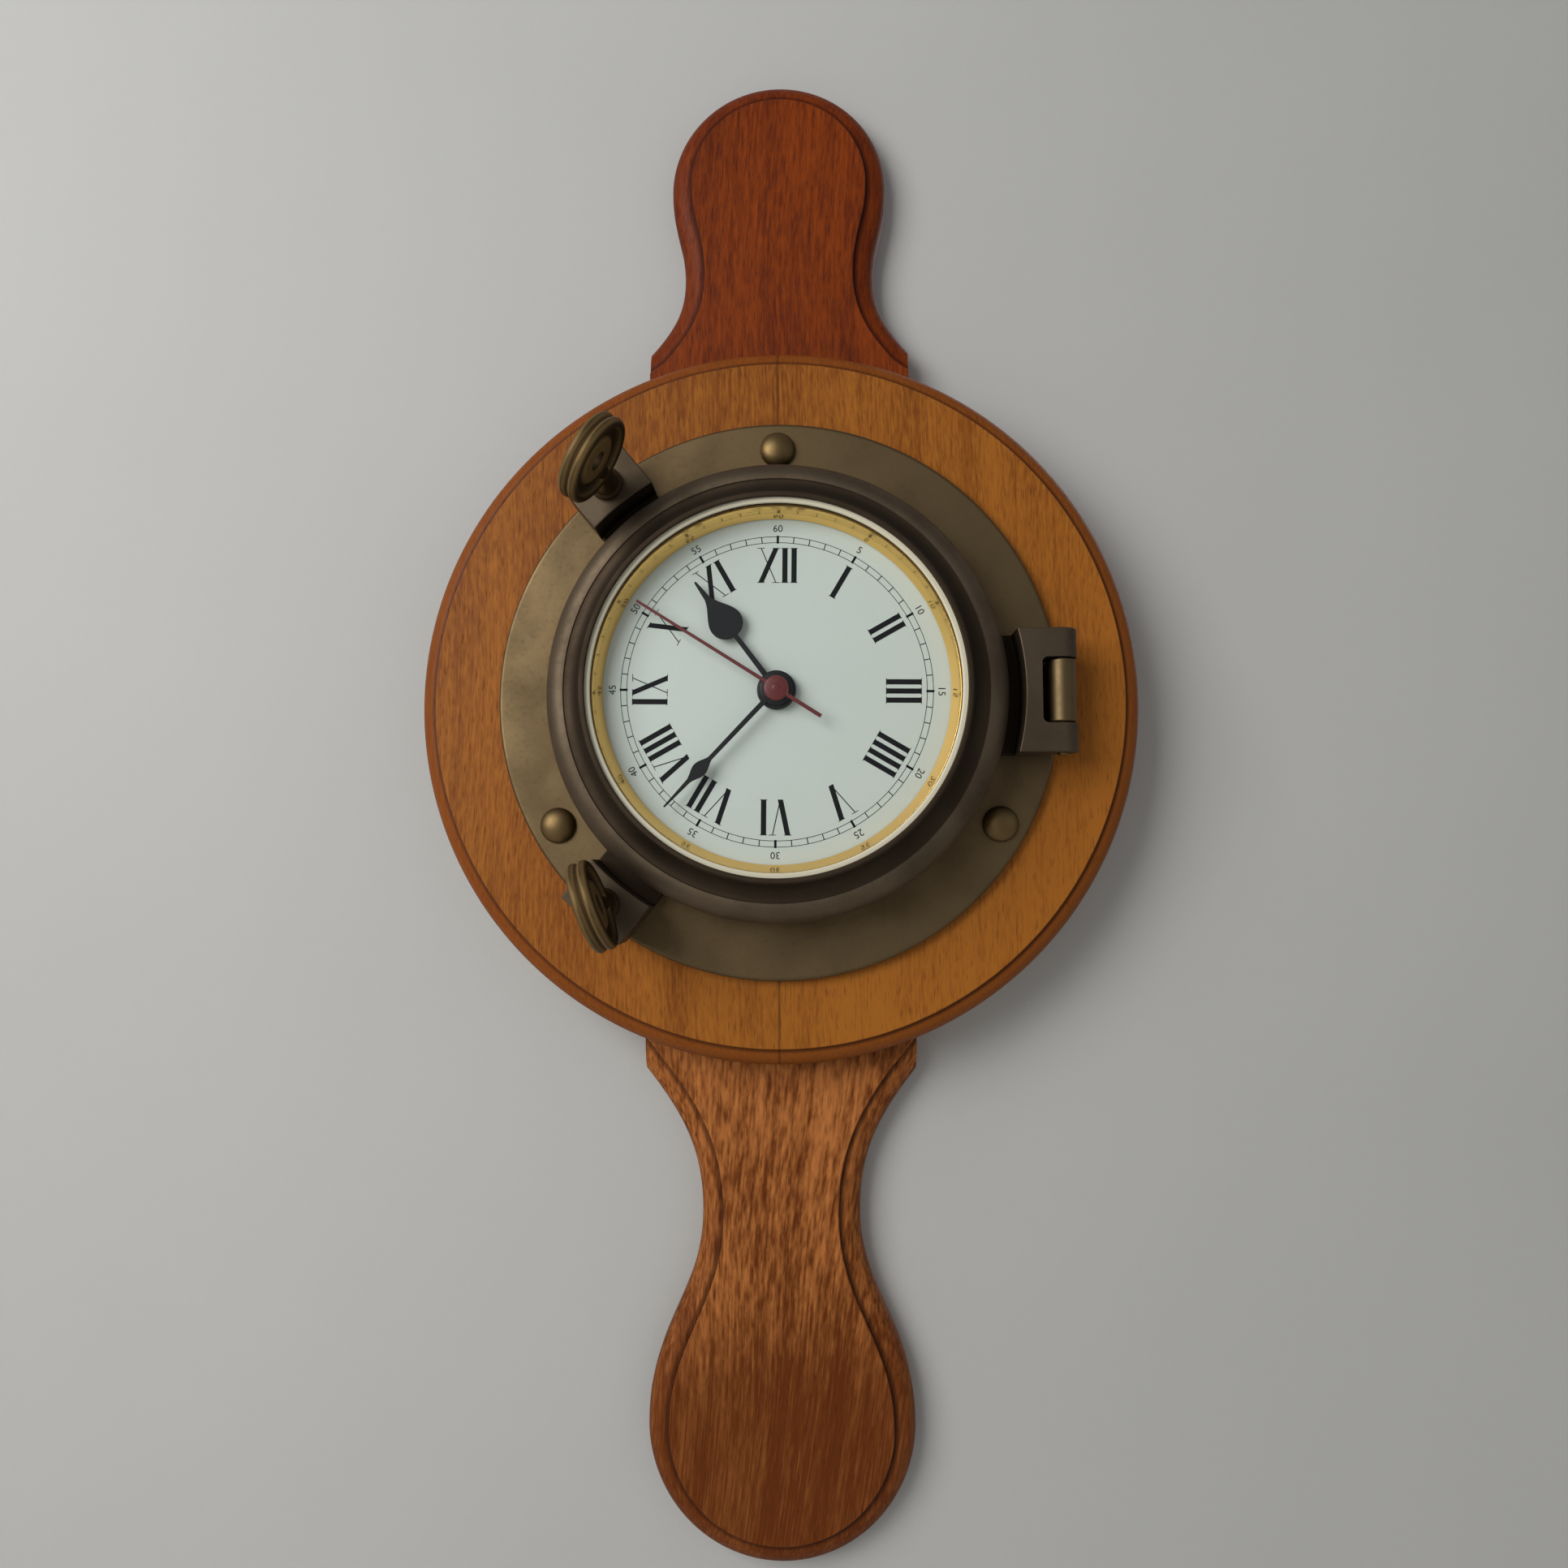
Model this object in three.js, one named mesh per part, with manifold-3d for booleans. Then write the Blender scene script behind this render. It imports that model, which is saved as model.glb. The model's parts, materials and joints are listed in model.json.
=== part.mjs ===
// Porthole wall clock: a bronze porthole with a hinged, glazed door, on a three-piece wooden back board,
// with a quartz movement and its wheel train behind the dial.
// While modelling, x runs to the right, y up the dial and z out from the wall, in millimetres.
import * as THREE from 'three';
import { mergeVertices } from 'three/addons/utils/BufferGeometryUtils.js';
import Module from 'manifold-3d';

const wasm = await Module();
wasm.setup();

// Clearances
const SEAT = 0.3; // between pieces that touch
const PUSH = 0.15; // between a hand and its pipe
const BORE_GAP = 0.4; // round a screw or a wheel that passes through a hole
const PAST = 1; // how far a cut runs past what it cuts

// Back board: a turned disc in front of an upper and a lower paddle
const PADDLE_T = 10;
const DISC_R = 97.75;
const DISC_BACK = PADDLE_T + SEAT;
const DISC_FRONT = 24;
const DISC_HOLE_R = 45;
const OVOLO_R = 4.6;
const OVOLO_STEP = 1.2;
const TAIL_Y = 60; // how far in the paddles reach behind the disc
const RUN_OUT = 1.35; // how far the moulded line goes on past the shoulder, as a share of its width
const UPPER = { bulbY: 153.6, bulbR: 31.3, neckX: 27.5, neckY: 126.5, tipX: 37.1, tipY: 104.5 };
const LOWER = { bulbY: -196.3, bulbR: 36.5, neckX: 21.8, neckY: -140, tipX: 37.5, tipY: -101 };
const BOARD_SCREWS = [[-22, 72], [22, 72], [-22, -72], [22, -72]];
const WOOD_SCREW = { back: 0.3, headR: 4.1, sunk: 2.9, shankR: 1.8, shankEnd: 17, tip: 19, slot: 1 };
const COUNTERSINK = { r: 4.6, rim: 0.6, foot: 3, boreR: 2.4 };

// Keyhole plate let into the back, and the pocket behind it for the head of a wall screw
const HANG_Y = 154; // hanging point above the dial's axis
const HANGER = { y: HANG_Y - 4, width: 18, height: 44, back: 1.3, front: 2.9, screwIn: 5, screwHoleR: 1.7 };
const KEYHOLE = { drop: 12, entryR: 4.5, stemR: 2.2 };
const POCKET = { halfWidth: 7, below: 14, above: 9, depth: 7 };
const PLATE_SCREW = { back: 0.1, crownR: 1.6, headR: 2.7, headH: 1, shankR: 1.35, shankEnd: 7, tip: 8.5 };

// Porthole frame and door, with h measured from the flange's face
const FACE = 27; // flange face above the wall
const FLANGE_R = 75;
const FLANGE_BACK = DISC_FRONT + SEAT;
const FLANGE_EDGE = 0.9;
const COAMING = { inner: 46, outer: 48.4, h: 12.2 };
const DOOR = { outer: 59.5, skirt: 51.5, skirtTop: 13.4, seat: 48.9, seatFoot: 15.2, foot: 0.5, top: 23 };
const DOOR_LIP = { r: 47.75, thick: 1, chamfer: 0.4 };
const SHOULDER = { r: 54.2, h: 17.2, start: 10.8 };
const QUIRK = { r: 53.5, h: 16.4 };
const RIM = { r: 49.3, h: 22.5 };
const LUG = { foot: 0.7, inner: 63.6, outer: 75.5, h: 13, webH: 3.6, halfWidth: 9.6, root: 5, edge: 0.7 };
const HINGE = { x: 73.5, h: 9.2, pinR: 1.5, pinEnd: 16.6 };
const FORK = { r: 3.8, halfWidth: 16, slotX: 67.8, slotHalf: 8.5, slotCorner: 1.5 };
const KNUCKLE = { r: 3.5, gap: 0.4 };
const FRAME_SCREW = { orbit: 67.6, headR: 4.75, headH: 2.7, shankR: 1.9, length: 13, taper: 3 };
const FRAME_SCREW_ANGLES = [90, 210, 330];
const DOGS = [
  { name: 'dog_screw_upper', angle: 129.1, turn: 58, eyeH: 33.2 },
  { name: 'dog_screw_lower', angle: 230.9, turn: 110, eyeH: 27.6 },
];
const DOG = { orbit: 70, shankR: 2.5, tipH: -2, tipEdge: 0.6, collarR: 5.5, collarH: 1.6 };
const DOG_NECK = { footR: 4.2, footH: 2.6, topR: 3.2, rootR: 2.4, rootIn: 2.7 };
const EYE = { r: 11.4, holeR: 2.2, hubR: 4.2, hub: 2.7, web: 1.5, beadR: 8.5, bead: 2.5, edge: 1.1 };

// Dial, glazing and hands
const DIAL = { r: 48.2, h: 13.5, thick: 1, holeR: 4.2 };
const SURROUND = { footR: 44.4, rimR: 46.4, rimH: 18.4, wallR: 47.1, flangeT: 0.8 };
const SEAL = { inner: 46.2, outer: 48.6, back: 20.9, front: 21.7 };
const GLASS = { r: 48.6, back: 18.9, front: 20.6, bevel: 0.6, bevelT: 0.3 };
const SPRING_RING = { inner: 47.4, outer: 48.6, back: 17.2, front: 18.6, halfGap: 1.2 };
const HAND_T = 0.6;
const HOUR = { angle: 323.1, length: 34.6, h: 15.6, bossR: 4.8 };
const SPADE = { stem: 0.65, base: 17.2, lobe: 4.4, lobeY: 21.5, neck: 0.8, neckY: 29.3, blunt: 0.95 };
const MINUTE = { angle: 223.5, length: 41.2, h: 16.6, bossR: 4.2 };
const LEAF = { stem: 0.58, base: 24.2, lobe: 1.85, lobeY: 28.2, neck: 0.55, neckY: 32.2, blunt: 0.35 };
const SECOND = { angle: 302.5, length: 42, tail: 13.4, h: 17.5, bossR: 3.2, bossT: 1, root: 0.45, tip: 0.2 };
const HOUR_PIPE = { r: 2.5, bore: 2.1 };
const MINUTE_PIPE = { r: 1.8, bore: 1.0 };
const ARBOR_R = 0.7;

// Quartz movement
const CASE = { half: 28, wall: 1.5, front: 38.2, back: 21.7, cover: 1.5, bushR: 3.9, bushTop: 42.2 };
const BAY = { half: 26, low: -27, high: -12, wall: 0.5 };
const WASHER = { inner: 4.2, outer: 9.5 };
const NUT_R = 5.6;
const BATTERY = { r: 6.95, length: 49.5, x: -0.5, y: -19.3, z: 29.3, crimp: 0.6, capR: 2.7, capH: 1 };
const CONTACT = { thick: 0.4, halfWidth: 5, low: 24.5, high: 36 };
const COIL = { x: -9, y: 15.1, z: 25.2, length: 18, width: 5.6, height: 3.6, boreHalf: 1.8, boreRise: 0.9 };
const STATOR = { left: -22, right: 16, below: 1.5, top: 25.4, corner: 1.8, thick: 1.2, boreR: 3.6 };
const STATOR_WINDOW = { left: -19, right: 3, below: 1.5, top: 22.4 };
const CIRCUIT = { left: -25, right: -8, low: 17, high: 26, back: 30, thick: 1 };

// Wheel train: the teeth of each pair and the spread of its arbors, and the places of the arbors
const CENTRE = { x: 0, y: 0 };
const PAIRS = {
  secondToThird: { pinion: 6, wheel: 45, spread: 12.24, angle: 170 },
  thirdToCentre: { pinion: 6, wheel: 48, spread: 12.24 },
  stepToSecond: { pinion: 8, wheel: 48, spread: 11.9, angle: 60 },
  rotorToStep: { pinion: 6, wheel: 30, spread: 8.16, angle: 60 },
  minuteToMotion: { pinion: 10, wheel: 30, spread: 9, angle: 20 },
  motionToHour: { pinion: 8, wheel: 32, spread: 9 },
  setToMotion: { pinion: 10, wheel: 30, spread: 9, angle: 0 },
};
for (const pair of Object.values(PAIRS)) {
  pair.module = 2 * pair.spread / (pair.pinion + pair.wheel);
}
const radians = (degrees) => degrees * Math.PI / 180;
const polar = (from, radius, degrees) => ({
  x: from.x + radius * Math.cos(radians(degrees)),
  y: from.y + radius * Math.sin(radians(degrees)),
});
const THIRD = polar(CENTRE, PAIRS.secondToThird.spread, PAIRS.secondToThird.angle);
const STEP = polar(CENTRE, PAIRS.stepToSecond.spread, PAIRS.stepToSecond.angle);
const ROTOR = polar(STEP, PAIRS.rotorToStep.spread, PAIRS.rotorToStep.angle);
const MOTION = polar(CENTRE, PAIRS.minuteToMotion.spread, PAIRS.minuteToMotion.angle);
const SETTING = polar(MOTION, PAIRS.setToMotion.spread, PAIRS.setToMotion.angle);
const LEVEL = { second: 25.2, third: 27.5, centre: 30.5, motion: 33, hour: 35.2 };
const WHEEL_T = 1;
const PINION_T = 1.6;
const PIVOT = { z: CASE.back - 0.5, holeR: 0.9, holeZ: CASE.back - 0.8, above: 2 };
const MAGNET = { r: 3, below: 1.2, above: 1.3 };
const MOTION_POST_R = 0.8;
const KNOB = { teeth: 16, module: 0.75, length: 4.2, clear: 0.3, stemR: 1.6, holeR: 2 };

// Sides of turned pieces
const BROAD = 40; // the board's disc and the door
const ROUND = 32; // the other large ones
const MIDDLING = 16;
const FINE = 12;
const SLIM = 8; // arbors and screw holes

// Materials
function finish(color, roughness, metalness) {
  return new THREE.MeshStandardMaterial({ color, roughness, metalness });
}
const discWood = finish(0x8d592b, 0.45, 0);
const upperWood = finish(0x73321a, 0.45, 0);
const lowerWood = finish(0x82502a, 0.45, 0);
const bronze = finish(0x59472f, 0.45, 0.9);
const brass = finish(0xb08d4f, 0.3, 1);
const gold = finish(0xbf9f58, 0.2, 1);
const cream = finish(0xd6d0b8, 0.5, 0);
const glass = finish(0xf4f8f7, 0.05, 0);
glass.transparent = true;
glass.opacity = 0.2;
const dialWhite = finish(0xd3d9d2, 0.5, 0);
const black = finish(0x141416, 0.4, 0.2);
const redBrown = finish(0x5c2622, 0.4, 0.2);
const steel = finish(0x9a9c9e, 0.35, 1);
const darkPlastic = finish(0x26272a, 0.6, 0);
const whitePlastic = finish(0xdadad2, 0.5, 0);
const rubber = finish(0x1b1b1b, 0.9, 0);
const copper = finish(0xb36b3c, 0.35, 0.9);
const boardGreen = finish(0x2f5a3a, 0.6, 0);
const cellBlue = finish(0x3b5f86, 0.4, 0.3);

// Shape helpers

// Turns triangles so that the body they close has a positive volume
function facingOut(position, index) {
  let volume = 0;
  for (let i = 0; i < index.length; i += 3) {
    const [a, b, c] = [0, 1, 2].map((k) => new THREE.Vector3().fromBufferAttribute(position, index[i + k]));
    volume += a.dot(b.cross(c));
  }
  if (volume > 0) return index;
  const turned = [];
  for (let i = 0; i < index.length; i += 3) turned.push(index[i], index[i + 2], index[i + 1]);
  return turned;
}

function solid(geometry) {
  const bare = geometry.clone();
  bare.deleteAttribute('normal');
  bare.deleteAttribute('uv');
  const merged = mergeVertices(bare, 1e-4);
  const index = [];
  const old = merged.index.array;
  for (let i = 0; i < old.length; i += 3) {
    const [a, b, c] = [old[i], old[i + 1], old[i + 2]];
    if (a !== b && b !== c && c !== a) index.push(a, b, c);
  }
  const triVerts = new Uint32Array(facingOut(merged.attributes.position, index));
  const vertProperties = new Float32Array(merged.attributes.position.array);
  return new wasm.Manifold(new wasm.Mesh({ numProp: 3, vertProperties, triVerts }));
}

function geometryOf(body) {
  const mesh = body.getMesh();
  const geometry = new THREE.BufferGeometry();
  geometry.setAttribute('position', new THREE.BufferAttribute(new Float32Array(mesh.vertProperties), 3));
  geometry.setIndex(new THREE.BufferAttribute(new Uint32Array(mesh.triVerts), 1));
  geometry.computeVertexNormals();
  return geometry;
}

// A profile of [radius, z] points turned about the z axis
function turned(points, sides = ROUND, at = CENTRE) {
  const profile = points.map(([r, z]) => new THREE.Vector2(r, z));
  const closed = points[0][0] > 0 || points[points.length - 1][0] > 0;
  if (closed) profile.push(profile[0].clone());
  const geometry = new THREE.LatheGeometry(profile, sides);
  geometry.rotateX(Math.PI / 2);
  geometry.translate(at.x, at.y, 0);
  return solid(geometry);
}

// The same with heights measured from the flange's face
function turnedOnFace(points, sides = ROUND) {
  return turned(points.map(([r, h]) => [r, FACE + h]), sides);
}

function rod(r, z0, z1, sides = FINE, at = CENTRE) {
  return turned([[0, z0], [r, z0], [r, z1], [0, z1]], sides, at);
}

function tube(inner, outer, z0, z1, sides = FINE, at = CENTRE) {
  return turned([[inner, z0], [outer, z0], [outer, z1], [inner, z1]], sides, at);
}

function extruded(shape, z0, z1, curveSegments = 6) {
  const geometry = new THREE.ExtrudeGeometry(shape, { depth: z1 - z0, bevelEnabled: false, curveSegments });
  geometry.translate(0, 0, z0);
  return solid(geometry);
}

function block(x0, x1, y0, y1, z0, z1) {
  const geometry = new THREE.BoxGeometry(x1 - x0, y1 - y0, z1 - z0);
  geometry.translate((x0 + x1) / 2, (y0 + y1) / 2, (z0 + z1) / 2);
  return solid(geometry);
}

function outline(points) {
  return new THREE.Shape(points.map(([x, y]) => new THREE.Vector2(x, y)));
}

function arc(x, y, r, fromDeg, toDeg, steps) {
  return Array.from({ length: steps + 1 }, (_, i) => {
    const a = radians(fromDeg + ((toDeg - fromDeg) * i) / steps);
    return [x + r * Math.cos(a), y + r * Math.sin(a)];
  });
}

// Turns or moves a body the way a matrix says
function laid(body, matrix) {
  const geometry = geometryOf(body);
  geometry.applyMatrix4(matrix);
  return solid(geometry);
}

function spun(body, degrees) {
  return laid(body, new THREE.Matrix4().makeRotationZ(radians(degrees)));
}

// Straight piece along y with its section drawn in x and h
function along(sectionPoints, y0, y1) {
  const matrix = new THREE.Matrix4().set(1, 0, 0, 0, 0, 0, 1, 0, 0, 1, 0, FACE, 0, 0, 0, 1);
  return laid(extruded(outline(sectionPoints), y0, y1), matrix);
}

function without(body, cuts) {
  return cuts.reduce((rest, cut) => rest.subtract(cut), body);
}

const clock = new THREE.Group();
clock.rotation.x = Math.PI / 2; // y becomes up and z comes out towards the viewer
clock.position.z = -HANG_Y; // the origin is the hanging point on the wall

function piece(name, body, material) {
  const mesh = new THREE.Mesh(geometryOf(body), material);
  mesh.name = name;
  clock.add(mesh);
}

// Back board

// Section of the moulded edge as [distance in from the outline, z]: a quarter round and a small step
function edgeProfile(back, front) {
  const low = front - OVOLO_STEP - OVOLO_R;
  const round = arc(OVOLO_R, low, OVOLO_R, 180, 90, 3);
  return [[0, back], ...round, [OVOLO_R, front]];
}

// For each point of an outline, the step that moves the edges beside it in by 1
function inwardSteps(points) {
  const count = points.length;
  return points.map((p, i) => {
    const before = p.clone().sub(points[(i + count - 1) % count]).normalize();
    const after = points[(i + 1) % count].clone().sub(p).normalize();
    const n0 = new THREE.Vector2(-before.y, before.x);
    const n1 = new THREE.Vector2(-after.y, after.x);
    const n = n0.clone().add(n1).normalize();
    const sharpest = 0.4; // keeps a sharp corner from reaching too far in
    return n.multiplyScalar(1 / Math.max(sharpest, n.dot(n0)));
  });
}

// A board with the moulded edge run round an outline: one ring of points for each point of the section
function mouldedBoard(points, back, front) {
  const count = points.length;
  const inward = inwardSteps(points);
  const section = edgeProfile(back, front);
  const vertices = [];
  for (const [inset, z] of section) {
    points.forEach((p, i) => vertices.push(p.x + inward[i].x * inset, p.y + inward[i].y * inset, z));
  }
  const index = [];
  for (let k = 0; k + 1 < section.length; k += 1) {
    for (let i = 0; i < count; i += 1) {
      const j = (i + 1) % count;
      const [a, b, c, d] = [k * count + i, k * count + j, (k + 1) * count + j, (k + 1) * count + i];
      index.push(a, b, c, a, c, d);
    }
  }
  const last = (section.length - 1) * count;
  for (const [a, b, c] of THREE.ShapeUtils.triangulateShape(points, [])) {
    index.push(a, c, b, last + a, last + b, last + c);
  }
  const geometry = new THREE.BufferGeometry();
  geometry.setAttribute('position', new THREE.Float32BufferAttribute(vertices, 3));
  geometry.setIndex(index);
  return solid(geometry);
}

// Outline of a paddle, from its tail behind the disc round its bulb and back. The moulding runs out past
// the shoulder, where a straight saw cut ends it.
function paddleOutline({ bulbY, bulbR, neckX, neckY, tipX, tipY }) {
  const way = Math.sign(bulbY);
  const reach = Math.abs(neckY - tipY);
  const swell = Math.abs(bulbY - neckY);
  const half = new THREE.Path();
  half.moveTo(tipX * RUN_OUT, way * TAIL_Y);
  half.lineTo(tipX * RUN_OUT, tipY - way * reach * 0.42);
  half.lineTo(tipX, tipY);
  const waistX = neckX + (tipX - neckX) * 0.3;
  half.bezierCurveTo(waistX, tipY + way * reach * 0.35, neckX, neckY - way * reach * 0.4, neckX, neckY);
  half.bezierCurveTo(neckX, neckY + way * swell * 0.4, bulbR, bulbY - way * swell * 0.45, bulbR, bulbY);
  half.absarc(0, bulbY, bulbR, 0, way * Math.PI / 2, way < 0);
  const right = half.getPoints(5);
  const left = right.slice(0, -1).reverse().map((p) => new THREE.Vector2(-p.x, p.y));
  const points = right.concat(left);
  return THREE.ShapeUtils.isClockWise(points) ? points.reverse() : points;
}

function screwHoleInPaddle(at) {
  const { r, rim, foot, boreR } = COUNTERSINK;
  const end = PADDLE_T + PAST;
  return turned([[0, -PAST], [r, -PAST], [r, rim], [boreR, foot], [boreR, end], [0, end]], FINE, at);
}

function paddle(form) {
  const reach = 300; // well past both ends of the paddle
  const sawn = block(-form.tipX, form.tipX, -reach, reach, -PAST, PADDLE_T + PAST);
  const board = mouldedBoard(paddleOutline(form), 0, PADDLE_T).intersect(sawn);
  const screws = BOARD_SCREWS.filter(([, y]) => Math.sign(y) === Math.sign(form.bulbY));
  return without(board, screws.map(([x, y]) => screwHoleInPaddle({ x, y })));
}

const hangerScrewPlaces = [1, -1].map((way) => ({
  x: 0,
  y: HANGER.y + way * (HANGER.height / 2 - HANGER.screwIn),
}));

function upperPaddle() {
  const { y, width, height, front, screwHoleR } = HANGER;
  const halfX = width / 2 + SEAT;
  const halfY = height / 2 + SEAT;
  const recess = block(-halfX, halfX, y - halfY, y + halfY, -PAST, front + SEAT);
  const { halfWidth, below, above, depth } = POCKET;
  const pocket = block(-halfWidth, halfWidth, y - below, y + above, 0, depth);
  const holes = hangerScrewPlaces.map((at) => rod(screwHoleR, -PAST, PLATE_SCREW.tip + SEAT, SLIM, at));
  return without(paddle(UPPER), [recess, pocket, ...holes]);
}

function boardDisc() {
  const section = edgeProfile(DISC_BACK, DISC_FRONT).map(([inset, z]) => [DISC_R - inset, z]);
  const disc = turned([[DISC_HOLE_R, DISC_BACK], ...section, [DISC_HOLE_R, DISC_FRONT]], BROAD);
  const { orbit, shankR, length } = FRAME_SCREW;
  const frameHoles = FRAME_SCREW_ANGLES.map((angle) =>
    rod(shankR + SEAT, FACE - length - PAST, DISC_FRONT + PAST, SLIM, polar(CENTRE, orbit, angle)));
  const boardHoles = BOARD_SCREWS.map(([x, y]) =>
    rod(WOOD_SCREW.shankR + SEAT, DISC_BACK - PAST, WOOD_SCREW.tip + SEAT, SLIM, { x, y }));
  return without(disc, [...frameHoles, ...boardHoles]);
}
piece('upper_paddle', upperPaddle(), upperWood);
piece('lower_paddle', paddle(LOWER), lowerWood);
piece('disc_board', boardDisc(), discWood);

// Countersunk wood screw driven forwards from behind, with a straight slot in its head
function boardScrew(at) {
  const { back, headR, sunk, shankR, shankEnd, tip, slot } = WOOD_SCREW;
  const body = turned([[0, back], [headR, back], [shankR, sunk], [shankR, shankEnd], [0, tip]], FINE, at);
  const reach = headR + PAST;
  return body.subtract(block(at.x - reach, at.x + reach, at.y - slot / 2, at.y + slot / 2, 0, slot));
}
BOARD_SCREWS.forEach(([x, y], i) => piece(`board_screw_${i + 1}`, boardScrew({ x, y }), steel));

function hangerPlate() {
  const { y, width, height, back, front, screwHoleR } = HANGER;
  const { drop, entryR, stemR } = KEYHOLE;
  const shape = new THREE.Shape();
  const r = width / 2;
  shape.absarc(0, y + height / 2 - r, r, 0, Math.PI, false);
  shape.absarc(0, y - height / 2 + r, r, Math.PI, 2 * Math.PI, false);
  const keyhole = new THREE.Path();
  const flare = Math.asin(stemR / entryR);
  keyhole.absarc(0, HANG_Y, stemR, Math.PI, 0, true);
  keyhole.absarc(0, HANG_Y - drop, entryR, Math.PI / 2 - flare, Math.PI / 2 + flare - 2 * Math.PI, true);
  shape.holes.push(keyhole);
  const holes = hangerScrewPlaces.map((at) => rod(screwHoleR, back - PAST, front + PAST, SLIM, at));
  return without(extruded(shape, back, front), holes);
}
piece('hanger_plate', hangerPlate(), steel);

function hangerScrew(at) {
  const { back, crownR, headR, headH, shankR, shankEnd, tip } = PLATE_SCREW;
  const head = [[0, back], [crownR, 2 * back], [headR, headH], [shankR, headH]];
  return turned([...head, [shankR, shankEnd], [0, tip]], SLIM, at);
}
hangerScrewPlaces.forEach((at, i) => piece(`hanger_screw_${i + 1}`, hangerScrew(at), steel));

// Porthole frame: flange, coaming and the middle knuckle of the hinge in one casting

function pinHole() {
  const reach = HINGE.pinEnd + PAST;
  return along(arc(HINGE.x, HINGE.h, HINGE.pinR + SEAT, 0, 337.5, 15), -reach, reach);
}

function hingeKnuckle() {
  const { x, h } = HINGE;
  const { r, gap } = KNUCKLE;
  const foot = [[x - r, -PAST], [x + PAST, -PAST], [x + r, h - 3]];
  const half = FORK.slotHalf - gap;
  return along([...foot, ...arc(x, h, r, 0, 180, 8)], -half, half);
}

function portholeFrame() {
  const { inner, outer, h } = COAMING;
  const flange = [
    [inner, FLANGE_BACK], [FLANGE_R, FLANGE_BACK],
    [FLANGE_R, FACE - FLANGE_EDGE], [FLANGE_R - FLANGE_EDGE, FACE],
  ];
  const coaming = [[outer, FACE], [outer, FACE + h], [inner, FACE + h]];
  const casting = turned([...flange, ...coaming]).add(hingeKnuckle());
  const [low, high] = [FLANGE_BACK - PAST, FACE + PAST];
  const screwHoles = FRAME_SCREW_ANGLES.map((angle) =>
    rod(FRAME_SCREW.shankR + BORE_GAP, low, high, FINE, polar(CENTRE, FRAME_SCREW.orbit, angle)));
  const dogHoles = DOGS.map((dog) =>
    rod(DOG.shankR + BORE_GAP, low, high, MIDDLING, polar(CENTRE, DOG.orbit, dog.angle)));
  return without(casting, [pinHole(), ...screwHoles, ...dogHoles]);
}
piece('porthole_frame', portholeFrame(), bronze);

function domeScrew(at) {
  const { headR, headH, shankR, length, taper } = FRAME_SCREW;
  const seat = FACE + SEAT;
  const dome = arc(0, 0, 1, 0, 90, 3).map(([c, s]) => [headR * c, seat + headH * s]);
  const shank = [[0, FACE - length], [shankR, FACE - length + taper], [shankR, seat]];
  return turned([...shank, ...dome.slice(0, -1), [0, seat + headH]], FINE, at);
}
FRAME_SCREW_ANGLES.forEach((angle, i) => {
  piece(`frame_screw_${i + 1}`, domeScrew(polar(CENTRE, FRAME_SCREW.orbit, angle)), bronze);
});

// Door: turned ring, hinge fork and two ears for the dogs in one casting
function doorSection() {
  const { outer, skirt, skirtTop, seat, seatFoot, foot, top } = DOOR;
  const convex = arc(0, 0, 1, 0, 90, 3).map(([c, s]) =>
    [SHOULDER.r + (outer - SHOULDER.r) * c, SHOULDER.start + (SHOULDER.h - SHOULDER.start) * s]);
  const cove = arc(0, 0, 1, 90, 0, 2).map(([c, s]) =>
    [QUIRK.r - (QUIRK.r - RIM.r) * c, RIM.h - (RIM.h - QUIRK.h) * s]);
  const under = top - DOOR_LIP.thick;
  const lip = [[RIM.r - DOOR_LIP.chamfer, top], [DOOR_LIP.r, top], [DOOR_LIP.r, under], [seat, under]];
  return [[skirt, foot], [outer, foot], ...convex, ...cove, ...lip, [seat, seatFoot], [skirt, skirtTop]];
}

// An ear or fork block: its inner face follows the ring, and a low web joins it to the ring
function lugBlock(section, half) {
  const { foot, inner, webH } = LUG;
  const high = along(section, -half, half).subtract(rod(inner, FACE - PAST, FACE + DOOR.top, BROAD));
  const web = block(DOOR.skirt + 3, inner + 2, -half, half, FACE + foot, FACE + webH);
  return high.add(web);
}

function hingeFork() {
  const { x, h } = HINGE;
  const { r, halfWidth, slotX, slotHalf, slotCorner } = FORK;
  const rootX = LUG.inner - LUG.root;
  const under = [[rootX, LUG.foot], [LUG.inner + 3, LUG.foot], [x - 1, h - r + 0.2]];
  const section = [...under, ...arc(x, h, r, -60, 90, 6), [rootX, h + r]];
  const outX = x + 4 * r; // past the fork's outer edge
  const right = [[outX, -slotHalf], [outX, slotHalf]];
  const corners = [[slotX + slotCorner, slotHalf], [slotX, slotHalf - slotCorner]];
  const opposite = corners.map(([cx, cy]) => [cx, -cy]).reverse();
  const slot = extruded(outline([...right, ...corners, ...opposite]), FACE - PAST, FACE + DOOR.top);
  return without(lugBlock(section, halfWidth), [slot, pinHole()]);
}

function dogEar(angle) {
  const { foot, inner, outer, h, halfWidth, root, edge } = LUG;
  const outside = [[outer - edge, foot], [outer, foot + edge], [outer, h - edge], [outer - edge, h]];
  const ear = lugBlock([[inner - root, foot], ...outside, [inner - root, h]], halfWidth);
  const hole = rod(DOG.shankR + SEAT, FACE - PAST, FACE + DOOR.top, MIDDLING, { x: DOG.orbit, y: 0 });
  return spun(ear.subtract(hole), angle);
}

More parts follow.
